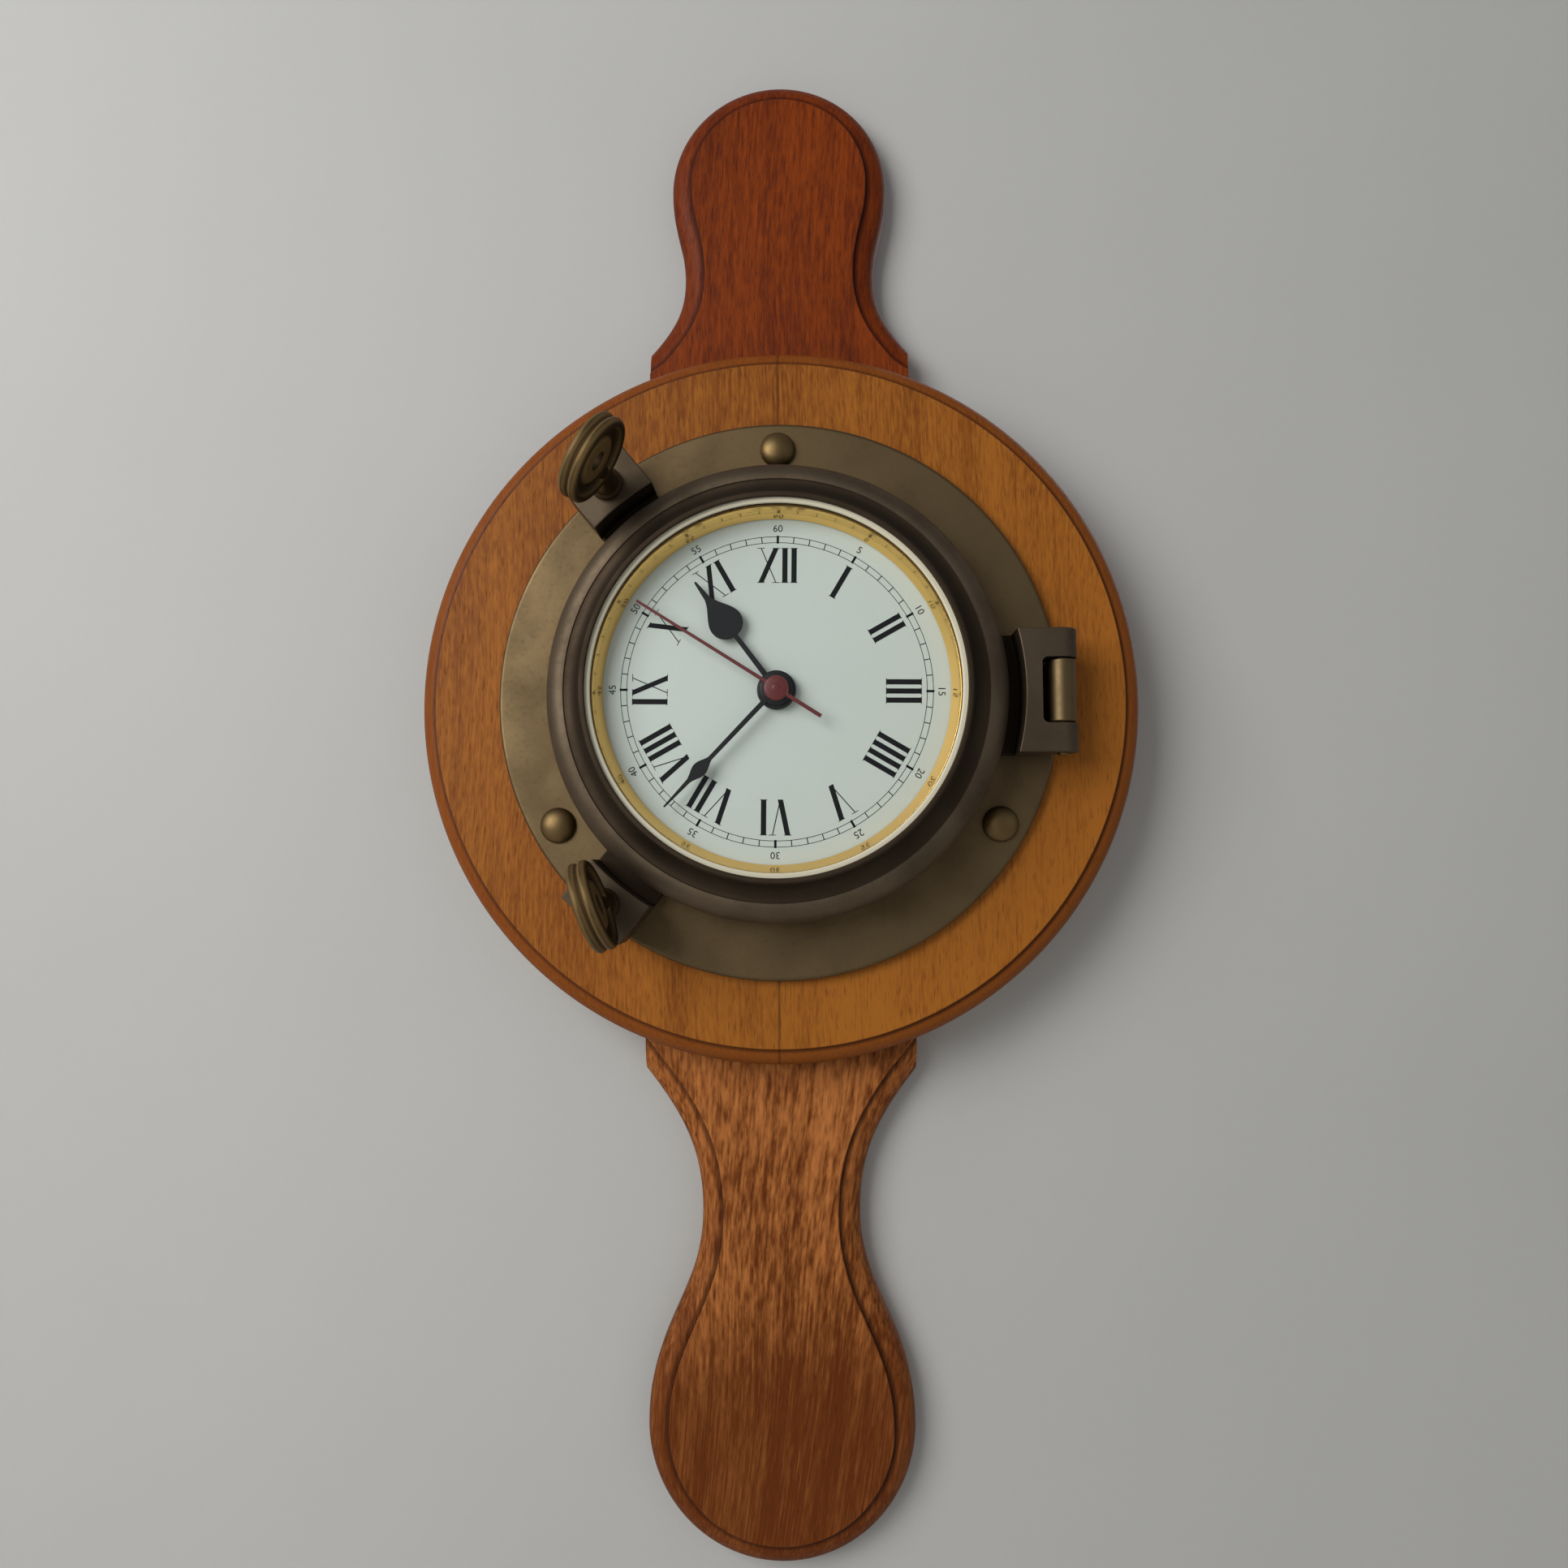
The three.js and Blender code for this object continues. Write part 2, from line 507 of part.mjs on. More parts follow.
function doorRing() {
  const lugs = [hingeFork(), ...DOGS.map((dog) => dogEar(dog.angle))];
  return lugs.reduce((body, lug) => body.add(lug), turnedOnFace(doorSection(), BROAD));
}
piece('door_ring', doorRing(), bronze);
const pinSection = arc(HINGE.x, HINGE.h, HINGE.pinR, 0, 330, 11);
piece('hinge_pin', along(pinSection, -HINGE.pinEnd, HINGE.pinEnd), brass);

// Dog: eye-headed thumb screw with two beads round its rim, a tapered neck and a collar

// The eye lying flat: a hub round its hole, a thin web and a grooved rim
function dogEye() {
  const { r, holeR, hubR, hub, web, beadR, bead, edge } = EYE;
  const rimIn = r - 0.6;
  const front = [
    [holeR, hub], [hubR, hub], [hubR + 1.6, web], [beadR - 0.8, web],
    [beadR, bead], [rimIn, bead - 0.2], [r, edge],
  ];
  const back = front.slice().reverse().map(([x, t]) => [x, -t]);
  return turned([...front, [rimIn, 0], ...back], MIDDLING);
}

function dogStem(eyeH) {
  const { shankR, tipH, tipEdge, collarR, collarH } = DOG;
  const { footR, footH, topR, rootR, rootIn } = DOG_NECK;
  const shank = [[0, tipH], [shankR - tipEdge, tipH], [shankR, tipH + tipEdge], [shankR, LUG.h + SEAT]];
  const collar = [[collarR, LUG.h + SEAT], [collarR, LUG.h + collarH], [footR, LUG.h + footH]];
  const under = eyeH - EYE.r;
  const neck = [[topR, under + 1.2], [rootR, under + rootIn], [0, under + rootIn]];
  return turnedOnFace([...shank, ...collar, ...neck], FINE);
}

function dogScrew({ angle, turn, eyeH }) {
  const stand = new THREE.Matrix4().makeRotationX(Math.PI / 2).setPosition(0, 0, FACE + eyeH);
  const at = polar(CENTRE, DOG.orbit, angle);
  const place = new THREE.Matrix4().makeRotationZ(radians(turn)).setPosition(at.x, at.y, 0);
  return laid(laid(dogEye(), stand).add(dogStem(eyeH)), place);
}
for (const dog of DOGS) piece(dog.name, dogScrew(dog), bronze);

// Glazing: cream seal, bevelled glass and the spring ring that holds them in the door
function doorGlass() {
  const { r, back, front, bevel, bevelT } = GLASS;
  return turnedOnFace([[0, back], [r, back], [r, front - bevelT], [r - bevel, front], [0, front]]);
}

function springRing() {
  const { inner, outer, back, front, halfGap } = SPRING_RING;
  const ring = turnedOnFace([[inner, back], [outer, back], [outer, front], [inner, front]]);
  const gap = block(-halfGap, halfGap, -outer - PAST, -inner + PAST, FACE + back - PAST, FACE + front + PAST);
  return ring.subtract(gap);
}
piece('glass_seal', tube(SEAL.inner, SEAL.outer, FACE + SEAL.back, FACE + SEAL.front, ROUND), cream);
piece('door_glass', doorGlass(), glass);
piece('glass_spring_ring', springRing(), brass);

// Dial and its polished conical surround
const DIAL_BACK = FACE + DIAL.h - DIAL.thick;

function dialSurround() {
  const { footR, rimR, rimH, wallR, flangeT } = SURROUND;
  const foot = DIAL.h + SEAT;
  const flange = [[footR, foot], [DIAL.r, foot], [DIAL.r, foot + flangeT], [wallR, foot + 2 * flangeT]];
  return turnedOnFace([...flange, [wallR, rimH], [rimR, rimH]]);
}
piece('dial', tube(DIAL.holeR, DIAL.r, DIAL_BACK, FACE + DIAL.h, ROUND), dialWhite);
piece('dial_surround', dialSurround(), gold);

// Hands, drawn pointing up the dial and then turned clockwise to the time shown
function hand(shape, { angle, h, bossR }, boreR, bossH) {
  const z = FACE + h;
  const blank = extruded(shape, z, z + HAND_T).add(rod(bossR, z, z + bossH, MIDDLING));
  const bored = boreR > 0 ? blank.subtract(rod(boreR, z - PAST, z + bossH + PAST)) : blank;
  return spun(bored, -angle);
}

// A stem that swells into a lobe, narrows to a neck and runs out to a point
function lobedHand({ stem, base, lobe, lobeY, neck, neckY, blunt }, length) {
  const rise = lobeY - base;
  const fall = neckY - lobeY;
  const half = new THREE.Path();
  half.moveTo(stem, 0);
  half.lineTo(stem, base);
  const cheek = stem + (lobe - stem) * 0.55 * blunt;
  half.bezierCurveTo(cheek, base + rise * 0.35 * (1 - blunt), lobe, base + rise * 0.42, lobe, lobeY);
  const waist = neck + (lobe - neck) * 0.2;
  half.bezierCurveTo(lobe, lobeY + fall * 0.35, waist, lobeY + fall * 0.63, neck, neckY);
  half.lineTo(0, length);
  const right = half.getPoints(4).map((p) => [p.x, p.y]);
  const left = right.slice(0, -1).reverse().map(([x, y]) => [-x, y]);
  return outline([...right, ...left]);
}

function sweepHand({ length, tail, root, tip }) {
  return outline([[-root, -tail], [root, -tail], [tip, length], [-tip, length]]);
}

function secondHand() {
  const socket = rod(ARBOR_R + PUSH, FACE + SECOND.h - PAST, FACE + SECOND.h + SECOND.bossT / 2);
  return hand(sweepHand(SECOND), SECOND, 0, SECOND.bossT).subtract(socket);
}
piece('hour_hand', hand(lobedHand(SPADE, HOUR.length), HOUR, HOUR_PIPE.r + PUSH, HAND_T), black);
piece('minute_hand', hand(lobedHand(LEAF, MINUTE.length), MINUTE, MINUTE_PIPE.r + PUSH, HAND_T), black);
piece('second_hand', secondHand(), redBrown);

// Movement case, cover and the parts that clamp it to the dial

function caseShell() {
  const { half, wall, front, back, bushR, bushTop } = CASE;
  const inside = half - wall;
  const foot = back + SEAT;
  const overlap = 0.5; // how far joined parts of the moulding run into each other
  const outer = block(-half, half, -half, half, foot, front);
  const hollow = outer.subtract(block(-inside, inside, -inside, inside, back - PAST, front - wall));
  const reach = inside + overlap;
  const divider = block(-reach, reach, BAY.high, BAY.high + BAY.wall, foot, front - overlap);
  const bush = rod(bushR, front - overlap, bushTop, MIDDLING);
  const bore = rod(HOUR_PIPE.r + 0.2, front - wall - PAST, bushTop + PAST);
  const post = rod(MOTION_POST_R, LEVEL.motion - 0.6, front - overlap, FINE, MOTION);
  return hollow.add(divider).add(bush).subtract(bore).add(post);
}

function caseCover() {
  const { half, back, cover } = CASE;
  const sheet = block(-half, half, -half, half, back - cover, back);
  const [low, high] = [back - cover - PAST, back + PAST];
  const bay = block(-BAY.half, BAY.half, BAY.low, BAY.high, low, high);
  const knobHole = rod(KNOB.holeR, low, high, MIDDLING, SETTING);
  const pivots = [CENTRE, THIRD, STEP, ROTOR].map((at) => rod(PIVOT.holeR, PIVOT.holeZ, high, SLIM, at));
  return without(sheet, [bay, knobHole, ...pivots]);
}

function fixingNut() {
  const back = FACE + DIAL.h + SEAT;
  const hexagon = rod(NUT_R, back, CASE.bushTop - 0.1, 6);
  return hexagon.subtract(rod(CASE.bushR + SEAT, back - PAST, CASE.bushTop + PAST, MIDDLING));
}

function rubberWasher() {
  return tube(WASHER.inner, WASHER.outer, CASE.front + SEAT, DIAL_BACK - SEAT, MIDDLING);
}
piece('movement_case', caseShell(), darkPlastic);
piece('movement_cover', caseCover(), darkPlastic);
piece('rubber_washer', rubberWasher(), rubber);
piece('fixing_nut', fixingNut(), brass);

function cell() {
  const { r, length, x, y, z, crimp, capR, capH } = BATTERY;
  const end = length / 2;
  const can = [[0, -end], [r, -end], [r, end - crimp], [r - crimp, end]];
  const upright = turned([...can, [capR, end], [capR, end + capH], [0, end + capH]], MIDDLING);
  return laid(upright, new THREE.Matrix4().makeRotationY(Math.PI / 2).setPosition(x, y, z));
}

function contact(way) {
  const { thick, halfWidth, low, high } = CONTACT;
  const end = way * (CASE.half - CASE.wall - SEAT);
  const [x0, x1] = [end, end - way * thick].sort((a, b) => a - b);
  return block(x0, x1, BATTERY.y - halfWidth, BATTERY.y + halfWidth, low, high);
}
piece('battery', cell(), cellBlue);
piece('positive_contact', contact(1), steel);
piece('negative_contact', contact(-1), steel);

// Wheel train

// Tooth outline: each tooth has two tip corners and shares the bottom of a V-shaped gap with its neighbour
function toothed(teeth, module, phase, at) {
  const pitch = 2 * Math.PI / teeth;
  const r = module * teeth / 2;
  const leaves = teeth < 16; // a pinion's teeth are shorter at the tip and deeper at the root
  const tip = r + module * (leaves ? 0.65 : 0.72);
  const root = r - module * (leaves ? 1.05 : 1.0);
  const tipHalf = pitch * 0.08;
  const points = [];
  for (let i = 0; i < teeth; i += 1) {
    const a = phase + i * pitch;
    for (const [radius, angle] of [[tip, a - tipHalf], [tip, a + tipHalf], [root, a + pitch / 2]]) {
      points.push([at.x + radius * Math.cos(angle), at.y + radius * Math.sin(angle)]);
    }
  }
  return outline(points);
}

function wheel(pair, phase, at, z) {
  return extruded(toothed(pair.wheel, pair.module, phase, at), z, z + WHEEL_T);
}

// A pinion stands out on both sides of the wheel that it drives
function pinion(pair, phase, at, wheelZ) {
  const z = wheelZ - (PINION_T - WHEEL_T) / 2;
  return extruded(toothed(pair.pinion, pair.module, phase, at), z, z + PINION_T);
}

// Tooth angle of a gear that meshes with a neighbour: a gap stands where the neighbour has a tooth
function meshed(teeth, at, other, otherTeeth, otherPhase) {
  const line = Math.atan2(at.y - other.y, at.x - other.x);
  return line + Math.PI - (otherPhase - line) * (otherTeeth / teeth) + Math.PI / teeth;
}

function secondWheel() {
  const arbor = rod(ARBOR_R, PIVOT.z, FACE + SECOND.h + SEAT, SLIM);
  return wheel(PAIRS.stepToSecond, 0, CENTRE, LEVEL.second)
    .add(pinion(PAIRS.secondToThird, 0, CENTRE, LEVEL.third))
    .add(arbor);
}

function thirdWheel() {
  const pair = PAIRS.secondToThird;
  const phase = meshed(pair.wheel, THIRD, CENTRE, pair.pinion, 0);
  return wheel(pair, phase, THIRD, LEVEL.third)
    .add(pinion(PAIRS.thirdToCentre, 0, THIRD, LEVEL.centre))
    .add(rod(ARBOR_R, PIVOT.z, LEVEL.hour, SLIM, THIRD));
}

function centreWheel() {
  const pair = PAIRS.thirdToCentre;
  const phase = meshed(pair.wheel, CENTRE, THIRD, pair.pinion, 0);
  const bore = rod(MINUTE_PIPE.r + PUSH, LEVEL.centre - PAST, LEVEL.centre + WHEEL_T + PAST);
  return wheel(pair, phase, CENTRE, LEVEL.centre).subtract(bore);
}

function stepWheel() {
  const pair = PAIRS.stepToSecond;
  const phase = meshed(pair.pinion, STEP, CENTRE, pair.wheel, 0);
  return pinion(pair, phase, STEP, LEVEL.second)
    .add(wheel(PAIRS.rotorToStep, 0, STEP, LEVEL.third))
    .add(rod(ARBOR_R, PIVOT.z, LEVEL.third + PIVOT.above, SLIM, STEP));
}

function motorRotor() {
  const pair = PAIRS.rotorToStep;
  const phase = meshed(pair.pinion, ROTOR, STEP, pair.wheel, 0);
  const magnet = rod(MAGNET.r, LEVEL.second - MAGNET.below, LEVEL.second + MAGNET.above, FINE, ROTOR);
  return pinion(pair, phase, ROTOR, LEVEL.third)
    .add(rod(ARBOR_R, PIVOT.z, LEVEL.third + PIVOT.above, SLIM, ROTOR))
    .add(magnet);
}

// The minute hand's pipe, which the centre wheel drives
function cannonPinion() {
  const [foot, top] = [LEVEL.centre - BORE_GAP, FACE + MINUTE.h + HAND_T];
  return pinion(PAIRS.minuteToMotion, 0, CENTRE, LEVEL.motion)
    .add(rod(MINUTE_PIPE.r, foot, top))
    .subtract(rod(MINUTE_PIPE.bore, foot - PAST, top + PAST));
}

const motionPhase = meshed(PAIRS.minuteToMotion.wheel, MOTION, CENTRE, PAIRS.minuteToMotion.pinion, 0);

function motionWheel() {
  const { pinion: leaves, module } = PAIRS.motionToHour;
  const foot = LEVEL.motion + WHEEL_T / 2;
  const top = LEVEL.hour + WHEEL_T + 0.2;
  return wheel(PAIRS.minuteToMotion, motionPhase, MOTION, LEVEL.motion)
    .add(extruded(toothed(leaves, module, 0, MOTION), foot, top))
    .subtract(rod(MOTION_POST_R + PUSH, LEVEL.motion - PAST, top + PAST, FINE, MOTION));
}

function hourWheel() {
  const pair = PAIRS.motionToHour;
  const phase = meshed(pair.wheel, CENTRE, MOTION, pair.pinion, 0);
  const top = FACE + HOUR.h + HAND_T;
  return wheel(pair, phase, CENTRE, LEVEL.hour)
    .add(rod(HOUR_PIPE.r, LEVEL.hour, top))
    .subtract(rod(HOUR_PIPE.bore, LEVEL.hour - PAST, top + PAST));
}

function settingKnob() {
  const pair = PAIRS.setToMotion;
  const phase = meshed(pair.pinion, SETTING, MOTION, pair.wheel, motionPhase);
  const top = CASE.back - CASE.cover - KNOB.clear;
  const grip = extruded(toothed(KNOB.teeth, KNOB.module, 0, SETTING), top - KNOB.length, top);
  return pinion(pair, phase, SETTING, LEVEL.motion)
    .add(rod(KNOB.stemR, top - PAST, LEVEL.motion, FINE, SETTING))
    .add(grip);
}
piece('second_wheel', secondWheel(), brass);
piece('third_wheel', thirdWheel(), brass);
piece('centre_wheel', centreWheel(), brass);
piece('step_wheel', stepWheel(), whitePlastic);
piece('motor_rotor', motorRotor(), steel);
piece('cannon_pinion', cannonPinion(), brass);
piece('motion_wheel', motionWheel(), whitePlastic);
piece('hour_wheel', hourWheel(), whitePlastic);
piece('setting_knob', settingKnob(), darkPlastic);

// Stepping motor and circuit
function stator() {
  const { left, right, below, top, corner, thick, boreR } = STATOR;
  const low = COIL.y - below;
  const shape = outline([
    [left, low], [right - corner, low], [right, low + corner],
    [right, top - corner], [right - corner, top], [left, top],
  ]);
  const opening = new THREE.Path();
  opening.absarc(ROTOR.x, ROTOR.y, boreR, 0, 2 * Math.PI, true);
  const { left: west, right: east, below: rise, top: north } = STATOR_WINDOW;
  const sill = COIL.y + rise;
  shape.holes.push(opening, outline([[west, sill], [west, north], [east, north], [east, sill]]));
  return extruded(shape, COIL.z - thick / 2, COIL.z + thick / 2);
}

function coil() {
  const { x, y, z, length, width, height, boreHalf, boreRise } = COIL;
  const [end, side, rise] = [length / 2, width / 2, height / 2];
  const winding = block(x - end, x + end, y - side, y + side, z - rise, z + rise);
  const bore = block(x - length, x + length, y - boreHalf, y + boreHalf, z - boreRise, z + boreRise);
  return winding.subtract(bore);
}

function circuitBoard() {
  const { left, right, low, high, back, thick } = CIRCUIT;
  return block(left, right, low, high, back, back + thick);
}
piece('motor_stator', stator(), steel);
piece('motor_coil', coil(), copper);
piece('circuit_board', circuitBoard(), boardGreen);

export default clock;
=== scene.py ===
import cmath
import json
import math

import bmesh
import bpy
from bpy.props import FloatProperty, FloatVectorProperty, PointerProperty
from mathutils import Matrix, Vector


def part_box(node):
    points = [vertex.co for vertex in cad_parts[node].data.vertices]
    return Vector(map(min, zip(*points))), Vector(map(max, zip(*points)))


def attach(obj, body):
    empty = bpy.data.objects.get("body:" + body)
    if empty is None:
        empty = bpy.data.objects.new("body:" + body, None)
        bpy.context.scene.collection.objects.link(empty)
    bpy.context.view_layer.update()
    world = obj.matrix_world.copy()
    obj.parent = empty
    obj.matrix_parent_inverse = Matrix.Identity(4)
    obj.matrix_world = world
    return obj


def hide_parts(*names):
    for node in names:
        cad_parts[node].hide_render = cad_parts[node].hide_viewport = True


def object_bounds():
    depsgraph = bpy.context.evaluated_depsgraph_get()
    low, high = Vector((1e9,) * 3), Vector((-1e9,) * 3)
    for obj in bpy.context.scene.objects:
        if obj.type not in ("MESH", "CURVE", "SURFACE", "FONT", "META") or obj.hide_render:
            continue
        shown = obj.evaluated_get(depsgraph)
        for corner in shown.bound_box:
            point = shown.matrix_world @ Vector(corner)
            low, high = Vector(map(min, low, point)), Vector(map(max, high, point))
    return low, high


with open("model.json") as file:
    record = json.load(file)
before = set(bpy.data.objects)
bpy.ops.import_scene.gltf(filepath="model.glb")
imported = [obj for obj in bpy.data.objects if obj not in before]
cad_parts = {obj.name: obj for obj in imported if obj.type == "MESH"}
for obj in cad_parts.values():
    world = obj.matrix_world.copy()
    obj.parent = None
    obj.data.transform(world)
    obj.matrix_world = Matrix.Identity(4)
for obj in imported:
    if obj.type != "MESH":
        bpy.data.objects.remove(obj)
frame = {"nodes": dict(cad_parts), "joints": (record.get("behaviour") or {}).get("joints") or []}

bl_info = {
    "name": "Porthole Wall Clock",
    "version": (1, 0, 0),
    "blender": (4, 5, 0),
    "location": "3D View > Sidebar > Porthole Clock",
    "description": "Builds the looks of a porthole wall clock around its packed frame",
    "category": "Object",
}

# Shapes are drawn in millimetres in the dial's axes: x to the right, y up and z out from the wall.
MM = 0.001
SIDES = 192  # round the large turned pieces
SMALL_SIDES = 64
SHARP = math.radians(20)  # edges that turn by more than this are shaded sharp
UPRIGHT = Matrix.Rotation(math.pi / 2, 4, "X")  # turns the dial's axes to face out from the wall
CAD_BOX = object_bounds()
AXIS_Z = sum(corner.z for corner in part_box("dial")) / 2
TO_FRAME = Matrix.Translation((0, 0, AXIS_Z)) @ UPRIGHT @ Matrix.Scale(MM, 4)  # from the dial's axes


def radius_of(node):
    """Half the height of a round node, in millimetres."""
    low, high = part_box(node)
    return (high.z - low.z) / 2 / MM


def depth_of(node):
    """Back and front of a node as distances from the wall, in millimetres."""
    low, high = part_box(node)
    return -high.y / MM, -low.y / MM


def node_centre(node):
    """Middle of a node in the dial's plane, in millimetres."""
    low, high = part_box(node)
    middle = (low + high) / 2
    return middle.x / MM, (middle.z - AXIS_Z) / MM


def joint_place(name):
    """A joint's place in the dial's axes, in millimetres."""
    joint = next(j for j in frame["joints"] if j["name"] == name)
    x, y, z = joint["pos_m"]
    return Vector((x, z - AXIS_Z, -y)) / MM


def linear(red, green, blue):
    """A colour written as 0 to 255 screen values, made linear."""
    return tuple(c / 3294.6 if c <= 10 else ((c / 255 + 0.055) / 1.055) ** 2.4 for c in (red, green, blue))


def length(name, description, millimetres):
    default = millimetres * MM
    return FloatProperty(name=name, description=description, default=default, unit="LENGTH", precision=5)


def turn(name, description, degrees):
    return FloatProperty(name=name, description=description, default=math.radians(degrees), unit="ROTATION")


def colour(name, description, red, green, blue):
    default = linear(red, green, blue)
    return FloatVectorProperty(
        name=name, description=description, default=default, subtype="COLOR", size=3, min=0, max=1
    )


class InMillimetres:
    """Reads the lengths of a property group in millimetres."""

    def __init__(self, group):
        self.group = group

    def __getattr__(self, name):
        return getattr(self.group, name) / MM


# Properties


class ClockBoardSizes(bpy.types.PropertyGroup):
    disc_radius: length("Disc radius", "Radius of the turned disc", radius_of("disc_board"))
    disc_hole: length("Disc hole", "Radius of the hole behind the movement", 45)
    ovolo: length("Quarter round", "Depth of the moulded edge, and its width on the disc", 4.6)
    paddle_ovolo: length("Paddle moulding", "Width of the moulded edge on the paddles", 6.0)
    step: length("Step", "Height of the step inside the moulded edge", 1.2)
    tail: length("Tail", "Distance from the dial's axis to a paddle's hidden end", 60)
    upper_bulb: length("Upper bulb", "Radius of the upper paddle's round end", 31.3)
    upper_neck: length("Upper neck", "Half the width of the upper paddle's neck", 27.5)
    upper_neck_at: length("Upper neck height", "Height of the upper neck above the dial's axis", 126.5)
    upper_shoulder_at: length("Upper shoulder height", "Height of the upper shoulders", 104.5)
    lower_bulb: length("Lower bulb", "Radius of the lower paddle's round end", 36.5)
    lower_neck: length("Lower neck", "Half the width of the lower paddle's neck", 21.8)
    lower_neck_at: length("Lower neck height", "Height of the lower neck, below the dial's axis", -140)
    lower_shoulder_at: length("Lower shoulder height", "Height of the lower shoulders", -101)


class ClockPortholeSizes(bpy.types.PropertyGroup):
    flange_radius: length("Flange radius", "Radius of the flange", 75)
    coaming_inner: length("Coaming bore", "Inner radius of the coaming", 46)
    coaming_outer: length("Coaming radius", "Outer radius of the coaming", 48.4)
    coaming_height: length("Coaming height", "Height of the coaming above the flange", 12.2)
    door_radius: length("Door radius", "Outer radius of the door ring", 59.5)
    door_skirt: length("Door skirt", "Inner radius of the door's skirt", 51.5)
    door_seat: length("Glass seat", "Radius of the seat of the glass", 48.9)
    door_lip: length("Door lip", "Radius of the lip round the glass", 47.75)
    door_height: length("Door height", "Height of the door above the flange", 23)
    ear_inner: length("Ear inside", "Radius of the groove between the ring and its ears", 63.6)
    ear_outer: length("Ear outside", "Outer reach of a dog's ear", 75.5)
    ear_height: length("Ear height", "Height of a dog's ear", 13)
    ear_half: length("Ear half width", "Half the width of a dog's ear", 9.6)
    web_height: length("Web height", "Height of the web between ring and ear", 3.6)
    fork_half: length("Fork half width", "Half the length of the hinge fork", 16)
    fork_slot: length("Fork slot", "Half the length of the slot for the knuckle", 8.5)
    fork_slot_at: length("Fork slot depth", "How far out the slot begins", 67.8)
    fork_round: length("Fork round", "Radius of the fork's outer edge", 3.8)
    knuckle: length("Knuckle", "Radius of the frame's hinge knuckle", 3.5)
    pin: length("Hinge pin", "Radius of the hinge pin", 1.5)
    dome_orbit: length("Screw orbit", "Distance of the dome screws from the dial's axis", 67.6)
    dome_radius: length("Screw head", "Radius of a dome screw's head", 4.75)
    dome_height: length("Screw height", "Height of a dome screw's head", 2.7)
    eye_radius: length("Dog eye", "Radius of a dog's eye head", 11.4)
    eye_hole: length("Dog eye hole", "Radius of the hole in a dog's eye", 2.5)
    eye_web: length("Dog eye web", "Half the thickness of the web in the hollow round the hub", 0.9)
    upper_eye: length("Upper eye height", "Height of the upper dog's eye above the flange", 33.2)
    lower_eye: length("Lower eye height", "Height of the lower dog's eye above the flange", 27.6)
    upper_dog_turn: turn("Upper dog", "Angle of the upper dog's head", 58)
    lower_dog_turn: turn("Lower dog", "Angle of the lower dog's head", 110)


class ClockDialSizes(bpy.types.PropertyGroup):
    numeral_inner: length("Numeral base", "Distance of the numerals' bases from the centre", 27.9)
    numeral_outer: length("Numeral top", "Distance of the numerals' tops from the centre", 37.0)
    track_inner: length("Track inside", "Inner radius of the minute track", 38.4)
    track_outer: length("Track outside", "Outer radius of the minute track", 39.96)
    number_orbit: length("Number orbit", "Distance of the minute numbers from the centre", 42.0)
    number_size: length("Number size", "Type size of the minute numbers", 2.6)
    print_angle: turn("Print angle", "How far the printing is turned clockwise on the clock", 0.6)
    hour_angle: turn("Hour angle", "Angle of the hour hand, clockwise from twelve", 323.1)
    hour_length: length("Hour hand", "Length of the hour hand", 34.6)
    minute_angle: turn("Minute angle", "Angle of the minute hand, clockwise from twelve", 223.5)
    minute_length: length("Minute hand", "Length of the minute hand", 41.2)
    second_angle: turn("Second angle", "Angle of the second hand, clockwise from twelve", 302.5)
    second_length: length("Second hand", "Length of the second hand", 42)
    second_tail: length("Second tail", "Length of the second hand's tail", 13.4)


class ClockColours(bpy.types.PropertyGroup):
    disc_light: colour("Disc light", "Pale wood of the disc", 162, 98, 32)
    disc_dark: colour("Disc dark", "Dark grain of the disc", 114, 59, 16)
    upper_light: colour("Upper light", "Pale wood of the upper paddle", 136, 58, 8)
    upper_dark: colour("Upper dark", "Dark grain of the upper paddle", 86, 30, 4)
    lower_light: colour("Lower light", "Pale wood of the lower paddle", 186, 115, 58)
    lower_dark: colour("Lower dark", "Dark grain of the lower paddle", 96, 44, 6)
    bronze: colour("Bronze", "Antiqued bronze of the flange", 111, 93, 66)
    door_bronze: colour("Door bronze", "Darker bronze of the door", 106, 92, 75)
    # also the dark of the painted shade in the door's cove and groove
    patina: colour("Patina", "Dark patina in the hollows", 58, 47, 37)
    worn: colour("Worn bronze", "Bronze where hands have rubbed it", 146, 121, 80)
    gold: colour("Gold", "Lacquered ring round the dial", 246, 200, 118)
    seal: colour("Seal", "Cream seal round the glass", 212, 204, 178)
    enamel: colour("Enamel", "White of the dial", 202, 211, 203)
    ink: colour("Ink", "Printing on the dial", 16, 16, 18)
    lacquer: colour("Lacquer", "Black of the hands", 13, 13, 15)
    red: colour("Red", "Red of the second hand", 98, 30, 30)
    backdrop: colour("Backdrop", "Cloth behind the clock", 186, 185, 181)


PROPERTY_GROUPS = {
    "clock_board": ClockBoardSizes,
    "clock_porthole": ClockPortholeSizes,
    "clock_dial": ClockDialSizes,
    "clock_colours": ClockColours,
}

# Depths that come from the frame
FACE = depth_of("frame_screw_1")[1] - 3.0  # the flange's face, under the dome screws' heads
DISC_BACK, DISC_FRONT = depth_of("disc_board")
PADDLE_FRONT = depth_of("upper_paddle")[1]


# Shader maths


